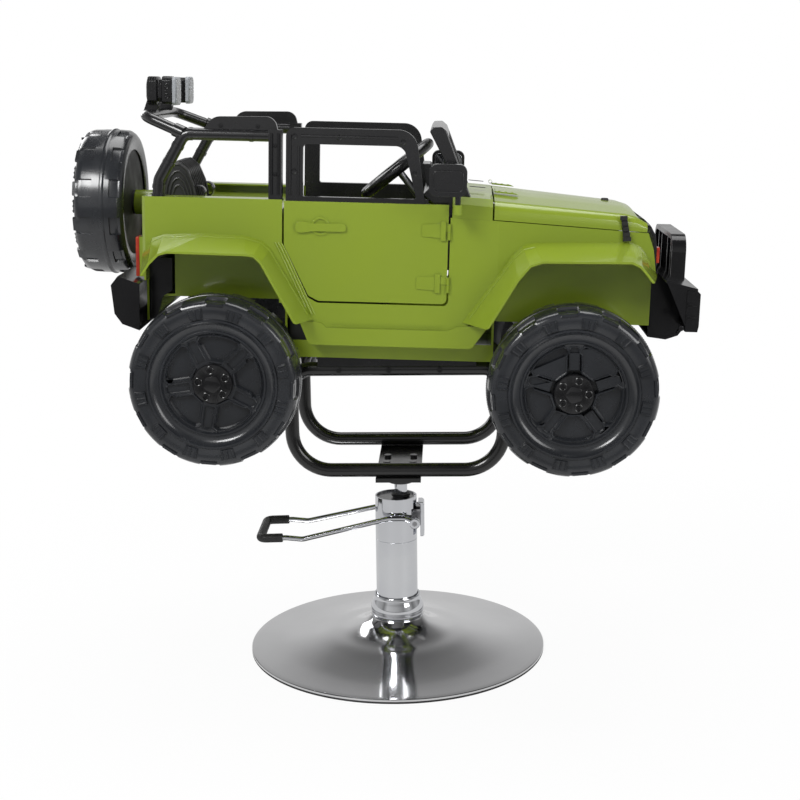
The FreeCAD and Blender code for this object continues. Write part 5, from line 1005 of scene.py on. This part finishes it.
def build_wheel(name, body, node, hub, cap_turn=18.0, lug_turn=0.0):
    bm = bmesh.new()
    columns = tread_columns()
    rows = []
    for r, h, *cut in TYRE_ROWS:
        recess = TREAD_DEPTH * sum(cut)
        rows.append([bm.verts.new(hub.polar(r - (recess if deep else 0), a + lug_turn + 15, h))
                     for a, deep in columns])
    ring_faces(bm, rows)
    # Spoke face with its pockets and channels
    edges = [bm.edges.get((rows[-1][i - 1], rows[-1][i])) for i in range(len(columns))]
    edges += loop_edges(bm, polar_rows(bm, hub, [(CAP_R - 2, FACE_H)], 72)[0])
    for k in range(SPOKES):
        middle = 360.0 / SPOKES * k
        edges += sunk(bm, hub, pocket_outline, POCKET_LIP, (-1.8, POCKET_H), middle)
        edges += sunk(bm, hub, channel_outline, CHANNEL_LIP, (-0.8, CHANNEL_H), middle + 36)
    bmesh.ops.triangle_fill(bm, edges=edges, use_beauty=True)
    # Back of the wheel: barrel, web and boss
    ring_faces(bm, polar_rows(bm, hub, BACK_ROWS, 60))
    # Serrated moulding seam round the middle of the tread
    seam = []
    for r, h in SEAM_ROWS:
        seam.append([bm.verts.new(hub.polar(r + (k % 2 if r > 154.5 else 0), 180.0 * k / SEAM_TEETH, h))
                     for k in range(SEAM_TEETH * 2)])
    ring_faces(bm, seam)
    # Sidewall lugs: a raised plate with three bars, and a rib on its outer end
    for k in range(TREAD_BLOCKS):
        lug = 360.0 / TREAD_BLOCKS * k + lug_turn
        lug_block(bm, hub, lug, (119.5, 139.5), (-14.5, 14.5), (-12.0, 12.0), 56.0, 60.4)
        for mid in (-10.2, 0.0, 10.2):
            near = mid * 0.86
            lug_block(bm, hub, lug, (121.5, 137), (mid - 2.0, mid + 2.0), (near - 1.6, near + 1.6), 60.0, 62.4)
        lug_block(bm, hub, lug + 15, (140.5, 147), (-14, 14), (-16, 16), 54.0, 60.6)
    piece(name, bm, body, "wheel", (node,), angle=32)
    build_cap(name + "_cap", body, hub, cap_turn)


def lug_block(bm, hub, degrees, span, far_half, near_half, low, high):
    """A block on the sidewall, wider at one end; spans and halves are in millimetres."""
    (r0, r1), (f0, f1), (n0, n1) = span, far_half, near_half
    foot = [(r0, n0), (r0, n1), (r1, f1), (r1, f0)]
    inset = 1.1
    top = [(r0 + inset, n0 + inset), (r0 + inset, n1 - inset), (r1 - inset, f1 - inset), (r1 - inset, f0 + inset)]
    a = [bm.verts.new(hub.flat(x, y, degrees, low)) for x, y in foot]
    b = [bm.verts.new(hub.flat(x, y, degrees, high)) for x, y in top]
    ring_faces(bm, [a, b])
    bm.faces.new(b)


def build_cap(name, body, hub, turn):
    """Centre cap with five nuts in round wells and a five-sided boss."""
    bm = bmesh.new()
    rings = polar_rows(bm, hub, [(CAP_R, 43.5), (CAP_R, 47.5), (34.5, 49.5), (31, 50.6), (14, 51.2)], 72)
    ring_faces(bm, rings)
    bm.faces.new(rings[-1])
    for k in range(SPOKES):
        a = 72 * k + turn
        nut = hub.polar(25.5, a, 50.4)
        lathe(bm, [(7.6, 0), (7.6, 1.8), (6.6, 2.4), (5.4, 1.8), (5.2, -1.0), (0, -1.0)], nut, hub.axis, 24)
        lathe(bm, [(3.9, -1.0), (3.9, 2.2), (3.2, 2.8), (1.7, 2.8), (1.6, 1.4), (0, 1.4)], nut, hub.axis, 6)
        for shift in (-7, 0, 7):
            rib = [hub.polar(r, a + 36 + shift + d, h) for r, d, h in
                   ((20, -1.3, 51), (33, -0.9, 50), (33, 0.9, 50), (20, 1.3, 51))]
            low = [bm.verts.new(p) for p in rib]
            high = [bm.verts.new(p + hub.axis * 1.4 * MM) for p in rib]
            ring_faces(bm, [low, high])
            bm.faces.new(high)
    rows = []
    for r, h in ((15.5, 50.5), (15.0, 53.2), (12.5, 54.2)):
        rows.append([bm.verts.new(hub.polar(r * (1.0 if d else 1.06), 72 * k + turn + 36 + d, h))
                     for k in range(SPOKES) for d in (-14, 0, 14)])
    ring_faces(bm, rows)
    bm.faces.new(rows[-1])
    piece(name, bm, body, "bumper")


def build_wheels():
    for axle, x in AXLES.items():
        for side, way in SIDES.items():
            hub = Hub(at(x, way * TRACK_HALF, AXLE_Z), Vector((0, way, 0)), turn=WHEEL_TURNS[axle + side])
            name = f"wheel_{axle}_{side}"
            build_wheel(name + "_moulding", name, name, hub, lug_turn=LUG_TURNS[axle + side])
    ahead = at(1, 0, 0) - at(0, 0, 0)
    hub = Hub(at(SPARE_X, 0, SPARE_Z), -ahead, scale=SPARE_RADIUS / WHEEL_RADIUS, width=0.93, back=0.6, turn=90)
    build_wheel("spare_wheel_moulding", "car", "spare_wheel", hub)
    # The spare's web and the boss that it is hung on
    bm = bmesh.new()
    web = [(8, -548), (8, -510.6), (23.5, -510.6), (23.5, -514), (60, -518), (92, -515.5), (101, -516),
           (101, -519.5), (60, -521.5), (23.5, -518), (23.5, -548)]
    lathe(bm, web, at(0, 0, SPARE_Z), ahead, 64, closed=True)
    piece("spare_wheel_boss", bm, "car", "rubber")


# ---------------------------------------------------------------- settings, operators and panel

class ChairFinish(bpy.types.PropertyGroup):
    paint: bpy.props.FloatVectorProperty(
        name="Body paint", description="Colour of the moulded body panels", subtype="COLOR",
        default=(0.236, 0.318, 0.024), min=0, max=1)
    trim_black: bpy.props.FloatVectorProperty(
        name="Trim black", description="Colour of the moulded black trim", subtype="COLOR",
        default=(0.010, 0.010, 0.011), min=0, max=1)
    wheel_black: bpy.props.FloatVectorProperty(
        name="Wheel black", description="Colour of the blow-moulded wheels", subtype="COLOR",
        default=(0.020, 0.022, 0.026), min=0, max=1)
    frame_black: bpy.props.FloatVectorProperty(
        name="Frame black", description="Colour of the tube frame's paint", subtype="COLOR",
        default=(0.008, 0.008, 0.008), min=0, max=1)


class ChairStage(bpy.types.PropertyGroup):
    light_level: bpy.props.FloatProperty(
        name="Light level", description="Share of the soft boxes' power", default=1.0, min=0)
    world_level: bpy.props.FloatProperty(
        name="World level", description="Strength of the room's light on matt surfaces", default=0.42, min=0)
    mirror_level: bpy.props.FloatProperty(
        name="Mirrored room", description="Strength of the room as shiny surfaces show it", default=0.62, min=0)
    floor_glow: bpy.props.FloatProperty(
        name="Floor white", description="Share of plain white in the floor where it is seen",
        default=0.93, min=0, max=1)


def done(build):
    """Runs one building step and reports it to Blender."""
    build()
    return {"FINISHED"}


class CHAIR_OT_stage(bpy.types.Operator):
    """Places the camera, soft boxes, room light and floor"""
    bl_idname = "chair.stage"
    bl_label = "Studio"

    def execute(self, context):
        return done(build_stage)


class CHAIR_OT_nodes(bpy.types.Operator):
    """Gives the frame's own nodes their finishes"""
    bl_idname = "chair.nodes"
    bl_label = "Frame finishes"

    def execute(self, context):
        return done(finish_nodes)


class CHAIR_OT_base(bpy.types.Operator):
    """Builds the spun base, its rubber edge and the collar"""
    bl_idname = "chair.base"
    bl_label = "Base"

    def execute(self, context):
        return done(build_base)


class CHAIR_OT_pump(bpy.types.Operator):
    """Builds the pump's sleeve, guard and ram"""
    bl_idname = "chair.pump"
    bl_label = "Pump"

    def execute(self, context):
        return done(build_pump)


class CHAIR_OT_pedal(bpy.types.Operator):
    """Builds the foot pedal and its rubber"""
    bl_idname = "chair.pedal"
    bl_label = "Foot pedal"

    def execute(self, context):
        return done(build_pedal)


class CHAIR_OT_pivot_bolts(bpy.types.Operator):
    """Sets the bolt heads on the pedal's pivot"""
    bl_idname = "chair.pivot_bolts"
    bl_label = "Pedal bolt heads"

    def execute(self, context):
        return done(build_pivot_bolts)


class CHAIR_OT_frame(bpy.types.Operator):
    """Builds the tube loops, strap plate, hub and saddles"""
    bl_idname = "chair.frame"
    bl_label = "Tube frame"

    def execute(self, context):
        return done(build_frame)


class CHAIR_OT_body(bpy.types.Operator):
    """Builds the car's body panels and flares"""
    bl_idname = "chair.body"
    bl_label = "Body panels"

    def execute(self, context):
        return done(build_body)


class CHAIR_OT_doors(bpy.types.Operator):
    """Builds the doors and their window frames"""
    bl_idname = "chair.doors"
    bl_label = "Doors"

    def execute(self, context):
        return done(build_doors)


class CHAIR_OT_cage(bpy.types.Operator):
    """Builds the roll cage, light bar and nose lamps"""
    bl_idname = "chair.cage"
    bl_label = "Roll cage"

    def execute(self, context):
        return done(build_cage)


class CHAIR_OT_cabin(bpy.types.Operator):
    """Builds the seat, dashboard, screen frame and rear pod"""
    bl_idname = "chair.cabin"
    bl_label = "Cabin"

    def execute(self, context):
        return done(build_cabin)


class CHAIR_OT_bumpers(bpy.types.Operator):
    """Builds the bumpers, signal lenses and mirrors"""
    bl_idname = "chair.bumpers"
    bl_label = "Bumpers and mirrors"

    def execute(self, context):
        return done(build_bumpers)


class CHAIR_OT_wheels(bpy.types.Operator):
    """Builds the four road wheels and the spare"""
    bl_idname = "chair.wheels"
    bl_label = "Wheels"

    def execute(self, context):
        return done(build_wheels)


class CHAIR_OT_mouldings(bpy.types.Operator):
    """Builds the ridges and the tread strip of the side panels"""
    bl_idname = "chair.mouldings"
    bl_label = "Panel mouldings"

    def execute(self, context):
        return done(build_mouldings)


class CHAIR_OT_trim(bpy.types.Operator):
    """Builds screws, sleeves, hinges and slots"""
    bl_idname = "chair.trim"
    bl_label = "Small trim"

    def execute(self, context):
        return done(build_trim)


class CHAIR_OT_latches(bpy.types.Operator):
    """Builds the rubber pulls that hold the bonnet"""
    bl_idname = "chair.latches"
    bl_label = "Bonnet pulls"

    def execute(self, context):
        return done(build_latches)


class CHAIR_OT_lamps(bpy.types.Operator):
    """Builds the boxy roof lamps and their lenses"""
    bl_idname = "chair.lamps"
    bl_label = "Roof lamps"

    def execute(self, context):
        return done(build_lamps)


class CHAIR_OT_pod(bpy.types.Operator):
    """Ribs the pod behind the seat and sets its knobs"""
    bl_idname = "chair.pod"
    bl_label = "Rear pod"

    def execute(self, context):
        return done(build_pod)


class CHAIR_OT_flare_lines(bpy.types.Operator):
    """Draws the fine step along each wheel flare"""
    bl_idname = "chair.flare_lines"
    bl_label = "Flare steps"

    def execute(self, context):
        return done(build_flare_lines)


class CHAIR_OT_steering(bpy.types.Operator):
    """Builds the grip of the steering wheel"""
    bl_idname = "chair.steering"
    bl_label = "Steering wheel"

    def execute(self, context):
        return done(build_steering)


class CHAIR_OT_mirror_details(bpy.types.Operator):
    """Builds the mirrors' glass and rims"""
    bl_idname = "chair.mirror_details"
    bl_label = "Mirror details"

    def execute(self, context):
        return done(build_mirror_details)


class CHAIR_OT_bumper_details(bpy.types.Operator):
    """Builds the marks and studs on the bumpers"""
    bl_idname = "chair.bumper_details"
    bl_label = "Bumper details"

    def execute(self, context):
        return done(build_bumper_details)


OPERATORS = (
    CHAIR_OT_stage, CHAIR_OT_nodes, CHAIR_OT_base, CHAIR_OT_pump, CHAIR_OT_pedal, CHAIR_OT_pivot_bolts,
    CHAIR_OT_frame, CHAIR_OT_body, CHAIR_OT_doors, CHAIR_OT_cage, CHAIR_OT_cabin, CHAIR_OT_bumpers,
    CHAIR_OT_mouldings, CHAIR_OT_trim, CHAIR_OT_latches, CHAIR_OT_lamps, CHAIR_OT_steering,
    CHAIR_OT_mirror_details, CHAIR_OT_bumper_details, CHAIR_OT_pod, CHAIR_OT_flare_lines, CHAIR_OT_wheels,
)


class CHAIR_PT_panel(bpy.types.Panel):
    """Lists the chair's settings and its building steps"""
    bl_idname = "CHAIR_PT_panel"
    bl_label = "Kids car barber chair"
    bl_space_type = "VIEW_3D"
    bl_region_type = "UI"
    bl_category = "Chair"

    def draw(self, context):
        for group in (context.scene.chair_finish, context.scene.chair_stage):
            for label in group.__annotations__:
                self.layout.prop(group, label)
        for step in OPERATORS:
            self.layout.operator(step.bl_idname)


CLASSES = (ChairFinish, ChairStage, *OPERATORS, CHAIR_PT_panel)


def register():
    for cls in CLASSES:
        bpy.utils.register_class(cls)
    bpy.types.Scene.chair_finish = bpy.props.PointerProperty(type=ChairFinish)
    bpy.types.Scene.chair_stage = bpy.props.PointerProperty(type=ChairStage)


def unregister():
    del bpy.types.Scene.chair_stage
    del bpy.types.Scene.chair_finish
    for cls in reversed(CLASSES):
        bpy.utils.unregister_class(cls)


def main():
    register()
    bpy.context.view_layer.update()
    for step in OPERATORS:
        group, name = step.bl_idname.split(".")
        getattr(getattr(bpy.ops, group), name)()


if __name__ == "__main__":
    main()
